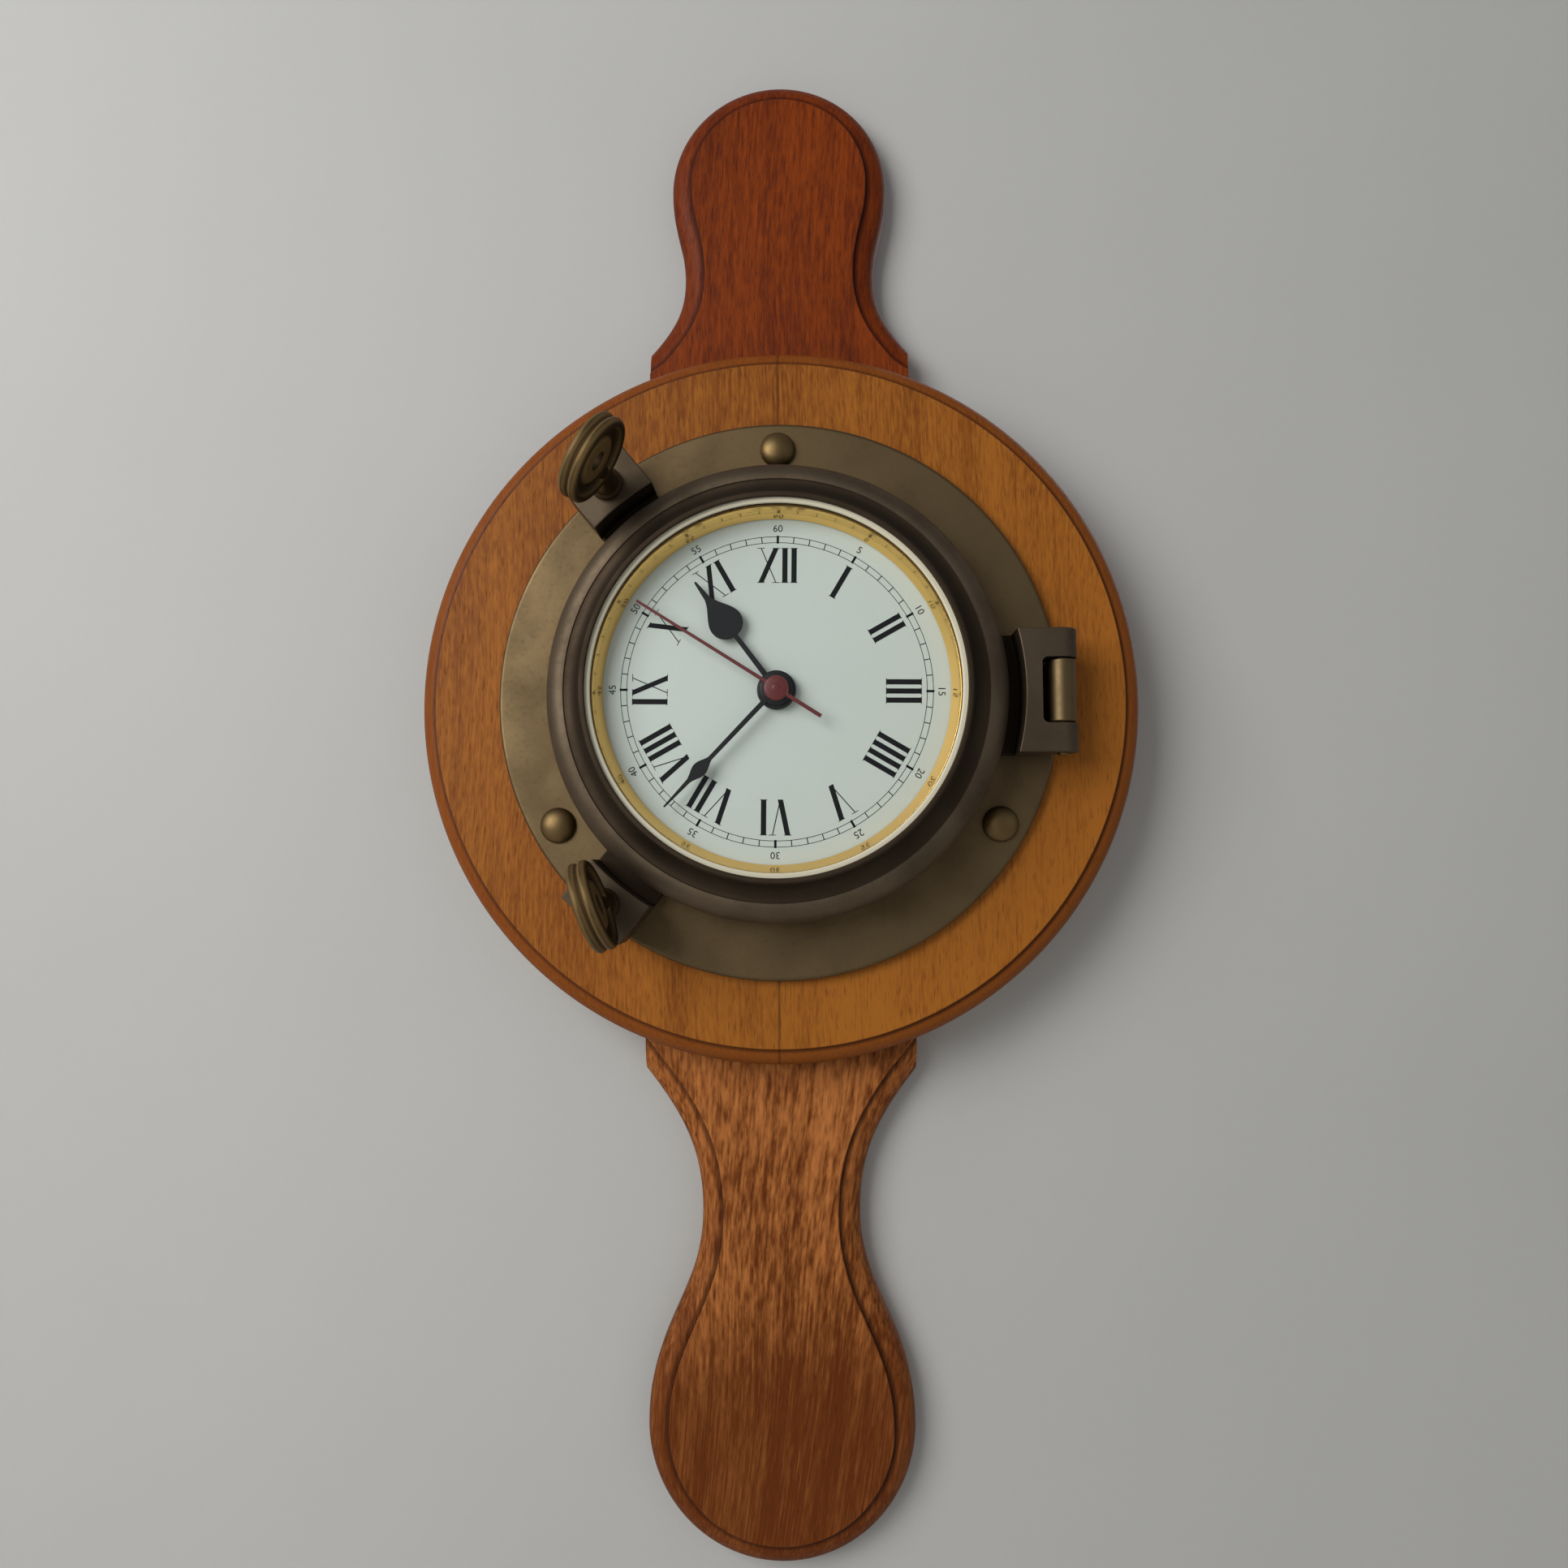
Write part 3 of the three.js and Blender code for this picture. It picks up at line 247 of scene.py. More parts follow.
class Shade:
    """A socket in a material. Arithmetic on it adds Math nodes, and add() adds any other node."""

    def __init__(self, tree, socket=None):
        self.tree = tree
        self.socket = socket

    def add(self, kind, inputs=None, output=0, **settings):
        node = self.tree.nodes.new("ShaderNode" + kind)
        for name, value in settings.items():
            setattr(node, name, value)
        for name, value in (inputs or {}).items():
            if isinstance(value, Shade):
                self.tree.links.new(value.socket, node.inputs[name])
            else:
                node.inputs[name].default_value = value
        return Shade(self.tree, node.outputs[output]) if node.outputs else None

    def maths(self, operation, *values):
        return self.add("Math", dict(enumerate(values)), operation=operation)

    def __add__(self, other):
        return self.maths("ADD", self, other)

    def __sub__(self, other):
        return self.maths("SUBTRACT", self, other)

    def __rsub__(self, other):
        return self.maths("SUBTRACT", other, self)

    def __mul__(self, other):
        return self.maths("MULTIPLY", self, other)

    def ramp(self, low, high):
        """0 below low and 1 above high, with a smooth step between."""
        inputs = {"Value": self, "From Min": low, "From Max": high}
        return self.add("MapRange", inputs, interpolation_type="SMOOTHSTEP")

    def mix(self, first, second):
        """The first colour where this is 0 and the second where it is 1."""
        inputs = {0: self, 6: opaque(first), 7: opaque(second)}
        return self.add("Mix", inputs, 2, data_type="RGBA")


def opaque(value):
    return value if isinstance(value, Shade) else (*value, 1)


def scaled(value, factor):
    return tuple(c * factor for c in value)


class Finish:
    """A material under way: its Object coordinates, noises on them, and the shader that ends it."""

    def __init__(self, name):
        self.material = bpy.data.materials.new(name)
        self.material.use_nodes = True
        self.material.node_tree.nodes.clear()
        self.start = Shade(self.material.node_tree)
        self.place = self.start.add("TexCoord", output="Object")

    def noise(self, scale, detail=2.0, place=None):
        """Noise with scale features to the metre: one number, or one for each axis."""
        along = scale if isinstance(scale, tuple) else (scale, scale, scale)
        stretched = self.start.add("Mapping", {"Vector": place or self.place, "Scale": along})
        return self.start.add("TexNoise", {"Vector": stretched, "Scale": 1.0, "Detail": detail})

    def axis(self, letter):
        return self.start.add("SeparateXYZ", {"Vector": self.place}, letter)

    def radius(self):
        """Distance from the dial's axis, in millimetres."""
        centre = self.start.add("Mapping", {"Vector": self.place, "Location": (0, 0, -AXIS_Z)})
        flat = self.start.add("VectorMath", {0: centre, 1: (1 / MM, 0, 1 / MM)}, operation="MULTIPLY")
        return self.start.add("VectorMath", {0: flat}, "Value", operation="LENGTH")

    def depth(self):
        """Distance from the wall, in millimetres."""
        return self.axis("Y") * (-1 / MM)

    def bump(self, height, distance, strength):
        return self.start.add("Bump", {"Height": height, "Distance": distance, "Strength": strength})

    def done(self, inputs):
        surface = self.start.add("BsdfPrincipled", inputs)
        self.start.add("OutputMaterial", {"Surface": surface})
        return self.material


def wood(name, light, dark, quirk_depth, bands, streaks, edge, seam=False, lean=0.0, fan=0.0, calm_and_shade=None):
    """Oiled hardwood with its grain along z: broad bands, fibres, short dark pores and a darkened quirk.

    Edge is how far the moulding turns to the dark tone, partly stain and partly painted shade. The quirk and
    the moulding's outer side are also darkened by stain and painted shade. Where two boards meet at a seam,
    the grain differs and the wood grows paler to the lower right. The grain leans by lean at x = 0, and by
    fan more for each metre to the right of it. Below the lower of calm_and_shade's two heights the wood is
    darker, partly in tone and partly as painted shade, and its streaks faint.
    """
    finish = Finish(name)
    x, y, z = (finish.axis(letter) for letter in "XYZ")
    wander = (finish.noise((9, 9, 7), 1) - 0.5) * 0.012
    across = x - (x * fan + lean) * (z - (calm_and_shade[0] if calm_and_shade else 0.0)) + wander
    if seam:
        apart = 0.41  # metres between the places in the grain that the two boards show
        across = across + x.maths("GREATER_THAN", x, 0.0) * apart
    grain = finish.start.add("CombineXYZ", {"X": across, "Y": y, "Z": z})
    patch = finish.noise((26, 26, 8), 2, grain)
    band = finish.noise((bands, bands, 6), 2, grain)
    streak = finish.noise((1250, 1250, 210), 2, grain)
    fibre = finish.noise((1700, 1700, 40), 2, grain)
    pore = finish.noise((1500, 1500, 230), 1, grain).ramp(0.58, 0.74)
    # below the calm heights the wood darkens, partly in tone and partly as painted shade of the lower end
    lively_and_lit = z.ramp(*calm_and_shade) if calm_and_shade else 1.0
    tone = (patch - 0.5) * 0.6 + (band - 0.5) * (lively_and_lit * 0.5 + 0.4) + (fibre - 0.5) * 0.7 + 0.5
    tone = tone + (streak - 0.5) * streaks * (lively_and_lit * 0.7 + 0.3) + (lively_and_lit - 1) * 0.33
    if seam:
        tone = tone + x * 1.8 - (z - AXIS_Z) * 2.0 + 0.12
    timber = tone.ramp(0.0, 1.0).mix(dark, light)
    timber = (pore * 0.35).mix(timber, scaled(dark, 0.45))
    away = finish.depth() - quirk_depth
    # the moulding below the quirk turns to a dark red tone: partly stain, partly painted shade
    timber = ((1 - away.ramp(0.0, 0.6)) * edge).mix(timber, (dark[0] * 1.1, dark[1], dark[2]))
    # further down the moulding and on its outer side: a darker tone, partly stain and partly painted shade
    timber = ((1 - away.ramp(-5.0, -1.2)) * 0.5).mix(timber, scaled(dark, 0.4))
    # a dark line along the quirk: painted shade in the crease, with some stain
    quirk = 1 - away.maths("ABSOLUTE", away).ramp(0.0, 0.22)
    timber = (quirk * 0.65).mix(timber, scaled(dark, 0.2))
    if seam:
        joint = 1 - x.maths("ABSOLUTE", x).ramp(0.0, 0.0006)
        timber = (joint * 0.6).mix(timber, scaled(dark, 0.35))
    rough = fibre * 0.2 + pore * 0.15 + 0.38
    normal = finish.bump(streak * 0.5 - pore, 0.00012, 0.5)
    inputs = {"Base Color": timber, "Roughness": rough, "Normal": normal, "Specular IOR Level": 0.12}
    return finish.done(inputs)


def metal(name, main, deep, rough, mottle, patina_and_shade_mask=None):
    """Metal with soft mottling and fine specks. A mask, if given, darkens it with patina and painted shade.
    """
    finish = Finish(name)
    cloud = finish.noise(70, 3).ramp(0.3, 0.75)
    speck = finish.noise(900)
    body = (cloud * mottle).mix(main, deep)
    body = (speck.ramp(0.58, 0.72) * 0.35 * mottle).mix(body, scaled(deep, 0.6))
    if patina_and_shade_mask:
        body = patina_and_shade_mask(finish).mix(body, scaled(deep, 0.75))
    shine = cloud * 0.1 + speck * 0.1 + (rough - 0.1)
    normal = finish.bump(speck, 0.00003, 0.35)
    return finish.done({"Base Color": body, "Metallic": 1.0, "Roughness": shine, "Normal": normal})


def door_hollows(finish):
    """Where the door is darkened: the cove round the glass by patina and painted shade, the lugs a little,
    and the groove between them by painted shade with some patina.
    """
    radius, depth = finish.radius(), finish.depth()
    # the cove round the glass: patina and painted shade
    cove = (1 - radius.ramp(53.9, 54.3)) * 0.78
    lugs = radius.ramp(62.0, 63.6) * 0.25
    # the deep groove between the ring and its lugs, near the flange: painted shade, with some patina
    between = radius.ramp(59.4, 59.8) * (1 - radius.ramp(63.5, 64.4))
    groove = between * (1 - depth.ramp(FACE + 4, FACE + 11))
    return cove.maths("MAXIMUM", cove + lugs, groove)


def worn_metal(name, worn, deep):
    """Bronze rubbed bright where the mesh's crest attribute is 1, and dark below 0 with painted shade and
    patina, black where it is -1.
    """
    finish = Finish(name)
    crest = finish.start.add("Attribute", output="Fac", attribute_name="crest")
    cloud = finish.noise(260, 3)
    rubbed = (crest + (cloud - 0.5) * 0.6).ramp(0.2, 0.9)
    # painted shade, with some patina: the eye's hole, the hollow round the hub, the bead valleys and the stem
    hollow = 1 - crest.ramp(-0.6, 0.05)
    body = (hollow * 0.85).mix(rubbed.mix(deep, worn), scaled(deep, 0.08))
    shine = 0.6 - rubbed * 0.12
    normal = finish.bump(finish.noise(1200), 0.00003, 0.35)
    inputs = {"Base Color": body, "Metallic": rubbed * 0.4 + 0.55, "Roughness": shine, "Normal": normal}
    return finish.done({**inputs, "Specular IOR Level": 0.2})


def paint(name, main, rough, spread=0.06, grain=700, coat=0.0, specular=0.5):
    """Paint, enamel or moulded plastic: a slight drift of tone and a fine surface grain."""
    finish = Finish(name)
    drift = finish.noise(35, 3)
    fine = finish.noise(grain)
    tone = drift.mix(scaled(main, 1 - spread), scaled(main, 1 + spread))
    shine = fine * 0.12 + (rough - 0.06)
    normal = finish.bump(fine, 0.00002, 0.3)
    inputs = {"Base Color": tone, "Roughness": shine, "Normal": normal, "Specular IOR Level": specular}
    return finish.done({**inputs, "Coat Weight": coat, "Coat Roughness": 0.1})


def winding(name, main):
    """Enamelled wire wound side by side along x, with painted shade in the grooves between turns."""
    finish = Finish(name)
    wave = finish.start.add("TexWave", {"Vector": finish.place, "Scale": 900.0}, bands_direction="X")
    normal = finish.bump(wave, 0.00008, 0.8)
    # the grooves between the turns of wire are darker: painted shade
    tone = wave.mix(scaled(main, 0.6), main)
    return finish.done({"Base Color": tone, "Metallic": 0.7, "Roughness": 0.35, "Normal": normal})


def jacket(name, main, band, edge):
    """A dry cell's plain jacket with a metal-coloured band at one end along x."""
    finish = Finish(name)
    share = finish.axis("X").ramp(edge - 0.0001, edge + 0.0001)
    fine = finish.noise(500)
    tone = share.mix(main, band)
    return finish.done({"Base Color": tone, "Metallic": 0.6, "Roughness": fine * 0.1 + 0.28})


def pane(name):
    """Clear glass: what lies behind shows through it, and its faces shine from outside by the Fresnel law."""
    finish = Finish(name)
    start = finish.start
    smear = finish.noise(60, 3) * 0.05 + 0.01
    white = (1, 1, 1, 1)
    gloss = start.add("BsdfPrincipled", {"Base Color": white, "Metallic": 1.0, "Roughness": smear})
    clear = start.add("BsdfTransparent", {"Color": (0.993, 0.998, 0.995, 1)})
    behind = start.add("NewGeometry", output="Backfacing")
    facing = start.add("Fresnel", {"IOR": 1.4}) * (1 - behind)
    mixed = start.add("MixShader", {0: facing, 1: clear, 2: gloss})
    start.add("OutputMaterial", {"Surface": mixed})
    return finish.material


def finish_of(context, name):
    """The material of that name, made when it is first asked for."""
    label = name + "_finish"
    found = bpy.data.materials.get(label)
    if found:
        return found
    hue = {key: tuple(getattr(context.scene.clock_colours, key)) for key in ClockColours.__annotations__}
    steel = linear(176, 177, 180)
    brass = linear(200, 164, 92)
    step = context.scene.clock_board.step / MM
    disc_quirk, paddle_quirk = DISC_FRONT - step, PADDLE_FRONT - step
    bulb, neck = AXIS_Z - 0.196, AXIS_Z - 0.15  # heights of the lower paddle's round end and neck
    lower = hue["lower_light"], hue["lower_dark"]
    dog_worn, dog_brown = linear(80, 71, 47), linear(116, 91, 55)
    recipes = {
        "disc_wood": (wood, hue["disc_light"], hue["disc_dark"], disc_quirk, 130, 1.2, 0.75, True),
        "upper_wood": (wood, hue["upper_light"], hue["upper_dark"], paddle_quirk, 140, 1.1, 0.4, False, 0.02),
        # below its neck the lower paddle is darker, partly in tone and partly as painted shade
        "lower_wood": (wood, *lower, paddle_quirk, 210, 1.4, 0.2, False, 0.1, 2.2, (bulb, neck)),
        "flange_bronze": (metal, hue["bronze"], hue["patina"], 0.52, 0.3),
        # the door's cove and groove darken with patina and painted shade
        "door_bronze": (metal, hue["door_bronze"], hue["patina"], 0.6, 0.4, door_hollows),
        "dome_bronze": (metal, scaled(hue["worn"], 0.65), hue["patina"], 0.48, 0.4),
        "dog_bronze": (worn_metal, dog_worn, dog_brown),
        "brass": (metal, brass, scaled(brass, 0.6), 0.3, 0.4),
        "gold": (metal, hue["gold"], scaled(hue["gold"], 0.9), 0.15, 0.08),
        "steel": (metal, steel, scaled(steel, 0.7), 0.36, 0.4),
        "copper": (winding, linear(190, 110, 62)),
        "cream_seal": (paint, hue["seal"], 0.42),
        "glass": (pane,),
        "enamel": (paint, hue["enamel"], 0.4, 0.025),
        "ink": (paint, hue["ink"], 0.6, 0.1, 700, 0.0, 0.1),
        "black_lacquer": (paint, hue["lacquer"], 0.5, 0.1, 900, 0.05, 0.25),
        "red_lacquer": (paint, hue["red"], 0.42, 0.08, 900, 0.15, 0.4),
        "dark_plastic": (paint, linear(38, 39, 42), 0.55, 0.12, 2200),
        "white_plastic": (paint, linear(224, 223, 214), 0.4, 0.05, 1500),
        "rubber": (paint, linear(30, 30, 31), 0.85, 0.15, 1600),
        "circuit": (paint, linear(44, 92, 60), 0.4, 0.1, 1200),
        "cell_jacket": (jacket, linear(40, 44, 52), linear(196, 122, 70), 0.008),
    }
    maker, *values = recipes[name]
    return maker(label, *values)


# Shape helpers


def rounded(corners, closed=True):
    """Points of an outline whose corners (x, y, radius) are rounded off."""
    steps = 5
    hold = 0.2  # a point this far past a bend keeps a long side shaded flat
    points = []
    count = len(corners)
    for i, (x, y, radius) in enumerate(corners):
        corner = complex(x, y)
        if not radius or (not closed and i in (0, count - 1)):
            points.append((x, y))
            continue
        before = complex(*corners[i - 1][:2]) - corner
        after = complex(*corners[(i + 1) % count][:2]) - corner
        room_before, room_after = abs(before), abs(after)
        before /= room_before
        after /= room_after
        half = abs(cmath.phase(after / before)) / 2
        reach = radius / math.tan(half)
        centre = corner + (before + after) / abs(before + after) * radius / math.sin(half)
        start = corner + before * reach - centre
        sweep = cmath.phase((corner + after * reach - centre) / start)
        bend = [centre + start * cmath.exp(1j * sweep * k / steps) for k in range(steps + 1)]
        if room_before > 4 * (reach + hold):
            bend.insert(0, corner + before * (reach + hold))
        if room_after > 4 * (reach + hold):
            bend.append(corner + after * (reach + hold))
        points += [(p.real, p.imag) for p in bend]
    return points


def arc(x, y, radius, from_deg, to_deg, steps):
    """Points on a circle, by angle in degrees."""
    angles = [math.radians(from_deg + (to_deg - from_deg) * i / steps) for i in range(steps + 1)]
    return [(x + radius * math.cos(a), y + radius * math.sin(a)) for a in angles]


def bezier(points, steps):
    """A cubic curve through its first and last points, without the first."""
    a, b, c, d = (Vector(p) for p in points)
    out = []
    for i in range(1, steps + 1):
        t = i / steps
        s = 1 - t
        out.append(tuple(a * s**3 + b * 3 * s * s * t + c * 3 * s * t * t + d * t**3))
    return out


def circle(x, y, radius, sides):
    """A whole circle's points."""
    return arc(x, y, radius, 0, 360 - 360 / sides, sides - 1)


def linked(name, data):
    """A new object in the scene."""
    made = bpy.data.objects.new(name, data)
    bpy.context.scene.collection.objects.link(made)
    return made


def solid(name, points, faces):
    """A closed object in the dial's axes, with its faces turned outwards."""
    mesh = bpy.data.meshes.new(name)
    mesh.from_pydata([tuple(p) for p in points], [], faces)
    outward(mesh)
    return linked(name, mesh)


def outward(mesh):
    """Merges a mesh's doubled points and turns its faces outwards."""
    form = bmesh.new()
    form.from_mesh(mesh)
    bmesh.ops.remove_doubles(form, verts=form.verts, dist=1e-5)
    bmesh.ops.recalc_face_normals(form, faces=form.faces)
    form.to_mesh(mesh)
    form.free()


def turned(name, profile, sides=SIDES, at=(0, 0)):
    """A profile of (radius, z) turned about z: closed on itself, or on the axis at both ends."""
    points, rings, faces = [], [], []
    for radius, z in profile:
        count = sides if radius else 1
        rings.append([len(points) + i for i in range(count)])
        for i in range(count):
            a = 2 * math.pi * i / sides
            points.append((at[0] + radius * math.cos(a), at[1] + radius * math.sin(a), z))
    following = rings[1:] + rings[:1] if profile[0][0] else rings[1:]
    for lower, upper in zip(rings, following):
        for i in range(sides):
            j = (i + 1) % sides
            places = ((lower, i), (lower, j), (upper, j), (upper, i))
            corners = [ring[k % len(ring)] for ring, k in places]
            faces.append(list(dict.fromkeys(corners)))
    return solid(name, points, [f for f in faces if len(f) > 2])


def rod(name, radius, low, high, at=(0, 0), sides=48):
    """A plain cylinder along z."""
    return turned(name, [(0, low), (radius, low), (radius, high), (0, high)], sides, at)


def flat_ring(name, inner, outer, low, high, rounds=(0, 0, 0, 0)):
    """A turned ring of four corners, with their radii from the inner low one to the inner high one."""
    places = ((inner, low), (outer, low), (outer, high), (inner, high))
    return turned(name, rounded([(*place, radius) for place, radius in zip(places, rounds)]))


def inward_normals(outline):
    """For each point of an anticlockwise outline, the step that moves its edges in by 1."""
    steps = []
    for i, point in enumerate(outline):
        p = Vector(point)
        before = (p - Vector(outline[i - 1])).normalized()
        after = (Vector(outline[(i + 1) % len(outline)]) - p).normalized()
        first = Vector((-before.y, before.x))
        middle = (first + Vector((-after.y, after.x))).normalized()
        steps.append(middle / max(0.4, middle.dot(first)))
    return steps


def anticlockwise(outline):
    area = sum(a[0] * b[1] - b[0] * a[1] for a, b in zip(outline, outline[1:] + outline[:1]))
    return outline if area > 0 else outline[::-1]


def layered(name, outline, section):
    """A plate whose edge follows a section of (inset, z) points from its back to its front."""
    outline = anticlockwise(outline)
    normals = inward_normals(outline)
    count = len(outline)
    points = []
    for inset, z in section:
        points += [(p[0] + n.x * inset, p[1] + n.y * inset, z) for p, n in zip(outline, normals)]
    faces = [list(range(count))[::-1], [(len(section) - 1) * count + i for i in range(count)]]
    for k in range(len(section) - 1):
        for i in range(count):
            j = (i + 1) % count
            faces.append([k * count + i, k * count + j, (k + 1) * count + j, (k + 1) * count + i])
    return solid(name, points, faces)


def plate(name, outline, back, front, edge=0.0):
    """A flat plate with its front and back edges eased."""
    if not edge:
        return layered(name, outline, [(0, back), (0, front)])
    return layered(name, outline, [(edge, back), (0, back + edge), (0, front - edge), (edge, front)])


def block(name, x0, x1, y0, y1, z0, z1):
    return plate(name, [(x0, y0), (x1, y0), (x1, y1), (x0, y1)], z0, z1)


def along_y(name, section, y0, y1):
    """A piece along y with its section drawn in (x, height above the flange)."""
    made = plate(name, section, y0, y1)
    made.data.transform(Matrix(((1, 0, 0, 0), (0, 0, 1, 0), (0, 1, 0, FACE), (0, 0, 0, 1))))
    made.data.flip_normals()
    return made


def settled(thing):
    """Turns an object's modifiers into its plain mesh."""
    graph = bpy.context.evaluated_depsgraph_get()
    graph.update()
    thing.data = bpy.data.meshes.new_from_object(thing.evaluated_get(graph))
    thing.modifiers.clear()
    return thing


def combined(base, others, operation):
    """Joins other solids to a base or cuts them from it, and removes them."""
    for other in others:
        cut = base.modifiers.new("combine", "BOOLEAN")
        cut.operation = operation
        cut.solver = "EXACT"
        cut.object = other
        settled(base)
        bpy.data.objects.remove(other)
    return base


def eased(thing, width):
    """Rounds an object's sharp edges."""
    bevel = thing.modifiers.new("ease", "BEVEL")
    bevel.width = width
    bevel.segments = 2
    bevel.limit_method = "ANGLE"
    bevel.angle_limit = math.radians(35)
    return settled(thing)


def joined(name, things):
    """Several solids as one object."""
    form = bmesh.new()
    for thing in things:
        form.from_mesh(thing.data)
        bpy.data.objects.remove(thing)
    mesh = bpy.data.meshes.new(name)
    form.to_mesh(mesh)
    form.free()
    return linked(name, mesh)


def moved(thing, matrix):
    thing.data.transform(matrix)
    return thing


def finished(context, thing, body, slot, material, *nodes, in_frame=False):
    """Puts a solid into the frame as a piece that rides on a body and stands for CAD nodes."""
    if not in_frame:
        thing.data.transform(TO_FRAME)
    thing.data.materials.clear()
    thing.data.materials.append(finish_of(context, material))
    thing.data.polygons.foreach_set("use_smooth", [True] * len(thing.data.polygons))
    thing.data.set_sharp_from_angle(angle=SHARP)
    thing.data.update()
    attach(thing, body)
    if nodes:
        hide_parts(*nodes)
    return thing


def copy_of_node(name, node, ease):
    """A merged copy of a CAD node with eased edges, already in the shared frame."""
    mesh = frame["nodes"][node].data.copy()
    mesh.name = name
    form = bmesh.new()
    form.from_mesh(mesh)
    bmesh.ops.remove_doubles(form, verts=form.verts, dist=1e-6)
    bmesh.ops.dissolve_limit(form, angle_limit=math.radians(1), verts=form.verts, edges=form.edges)
    form.to_mesh(mesh)
    form.free()
    return eased(linked(name, mesh), ease * MM)


# Geometry node trees


def new_tree(name, **inputs):
    """An empty geometry tree with named inputs of the given kinds, and the sockets they come from."""
    tree = bpy.data.node_groups.new(name, "GeometryNodeTree")
    for label, kind in inputs.items():
        tree.interface.new_socket(name=label, in_out="INPUT", socket_type="NodeSocket" + kind)
    tree.interface.new_socket(name="Geometry", in_out="OUTPUT", socket_type="NodeSocketGeometry")
    return tree, tree.nodes.new("NodeGroupInput").outputs


def tree_node(tree, kind, inputs=None, **settings):
    node = tree.nodes.new(kind)
    for name, value in settings.items():
        setattr(node, name, value)
    for name, value in (inputs or {}).items():
        if isinstance(value, bpy.types.NodeSocket):
            tree.links.new(value, node.inputs[name])
        else:
            node.inputs[name].default_value = value
    return node


def end_tree(tree, points, copy, rotation, material):
    """Puts the copy on the points, realizes it, takes it to the shared frame and sets its material."""
    picked = tree_node(tree, "GeometryNodeObjectInfo", {"Object": copy})
    placing = {"Points": points, "Instance": picked.outputs["Geometry"], "Rotation": rotation}
    placed = tree_node(tree, "GeometryNodeInstanceOnPoints", placing)
    real = tree_node(tree, "GeometryNodeRealizeInstances", {0: placed.outputs[0]})
    shift = {"Geometry": real.outputs[0], "Translation": (0, 0, AXIS_Z), "Rotation": (math.pi / 2, 0, 0)}
    in_frame = tree_node(tree, "GeometryNodeTransform", {**shift, "Scale": (MM, MM, MM)})
    coated = tree_node(tree, "GeometryNodeSetMaterial", {0: in_frame.outputs[0], "Material": material})
    ending = tree.nodes.new("NodeGroupOutput")
    tree.links.new(coated.outputs[0], ending.inputs[0])


def ring_tree():
    """Copies spaced round a circle about the dial's axis, each turned to point outwards."""
    kinds = {"Copy": "Object", "Count": "Int", "Orbit": "Float", "Start": "Float", "Finish": "Material"}
    tree, out = new_tree("Ring of copies", **kinds)
    loop = tree_node(tree, "GeometryNodeMeshCircle", {"Vertices": out["Count"], "Radius": out["Orbit"]})
    spin = tree_node(tree, "ShaderNodeCombineXYZ", {"Z": out["Start"]})
    turning = {"Geometry": loop.outputs[0], "Rotation": spin.outputs[0]}
    turned_ring = tree_node(tree, "GeometryNodeTransform", turning)
    place = tree_node(tree, "GeometryNodeInputPosition")
    parts = tree_node(tree, "ShaderNodeSeparateXYZ", {0: place.outputs[0]})
    across = {0: parts.outputs["Y"], 1: parts.outputs["X"]}
    angle = tree_node(tree, "ShaderNodeMath", across, operation="ARCTAN2")
    facing = tree_node(tree, "ShaderNodeCombineXYZ", {"Z": angle.outputs[0]})
    end_tree(tree, turned_ring.outputs[0], out["Copy"], facing.outputs[0], out["Finish"])
    return tree


def grid_tree():
    """Copies on a grid of columns and rows in the dial's plane."""
    kinds = {"Copy": "Object", "Columns": "Int", "Rows": "Int", "Width": "Float", "Height": "Float"}
    tree, out = new_tree("Grid of copies", **kinds, Rise="Float", Finish="Material")
    sizes = {"Size X": out["Width"], "Size Y": out["Height"]}
    counts = {"Vertices X": out["Columns"], "Vertices Y": out["Rows"]}
    grid = tree_node(tree, "GeometryNodeMeshGrid", {**sizes, **counts})
    up = tree_node(tree, "ShaderNodeCombineXYZ", {"Y": out["Rise"]})
    lift = {"Geometry": grid.outputs[0], "Translation": up.outputs[0]}
    raised = tree_node(tree, "GeometryNodeTransform", lift)
    end_tree(tree, raised.outputs[0], out["Copy"], (0, 0, 0), out["Finish"])
    return tree


def repeated(name, tree, copy, values):
    """Runs a tree on an empty mesh, with its inputs set by identifier, and keeps the plain mesh."""
    made = linked(name, bpy.data.meshes.new(name))
    copies = made.modifiers.new("copies", "NODES")
    copies.node_group = tree
    named = {"Copy": copy, **values}
    for item in tree.interface.items_tree:
        if item.in_out == "INPUT":
            copies[item.identifier] = named[item.name]
    settled(made)
    bpy.data.objects.remove(copy)
    return made


# Back board


def edge_section(size, back, front, width):
    """Section of the moulded edge as (inset, z): a quarter round, a quirk and a small step."""
    low = front - size.step - size.ovolo
    curve = [(width * (1 - x), low + size.ovolo * y) for x, y in arc(0, 0, 1, 0, 90, 10)]
    ease = 0.3
    step = width + 0.05  # where the step rises, just inside the quarter round
    step_top = [(step, front - ease), (width + ease, front)]
    return [(ease, back), (0, back + ease), *curve, (step, front - size.step), *step_top]


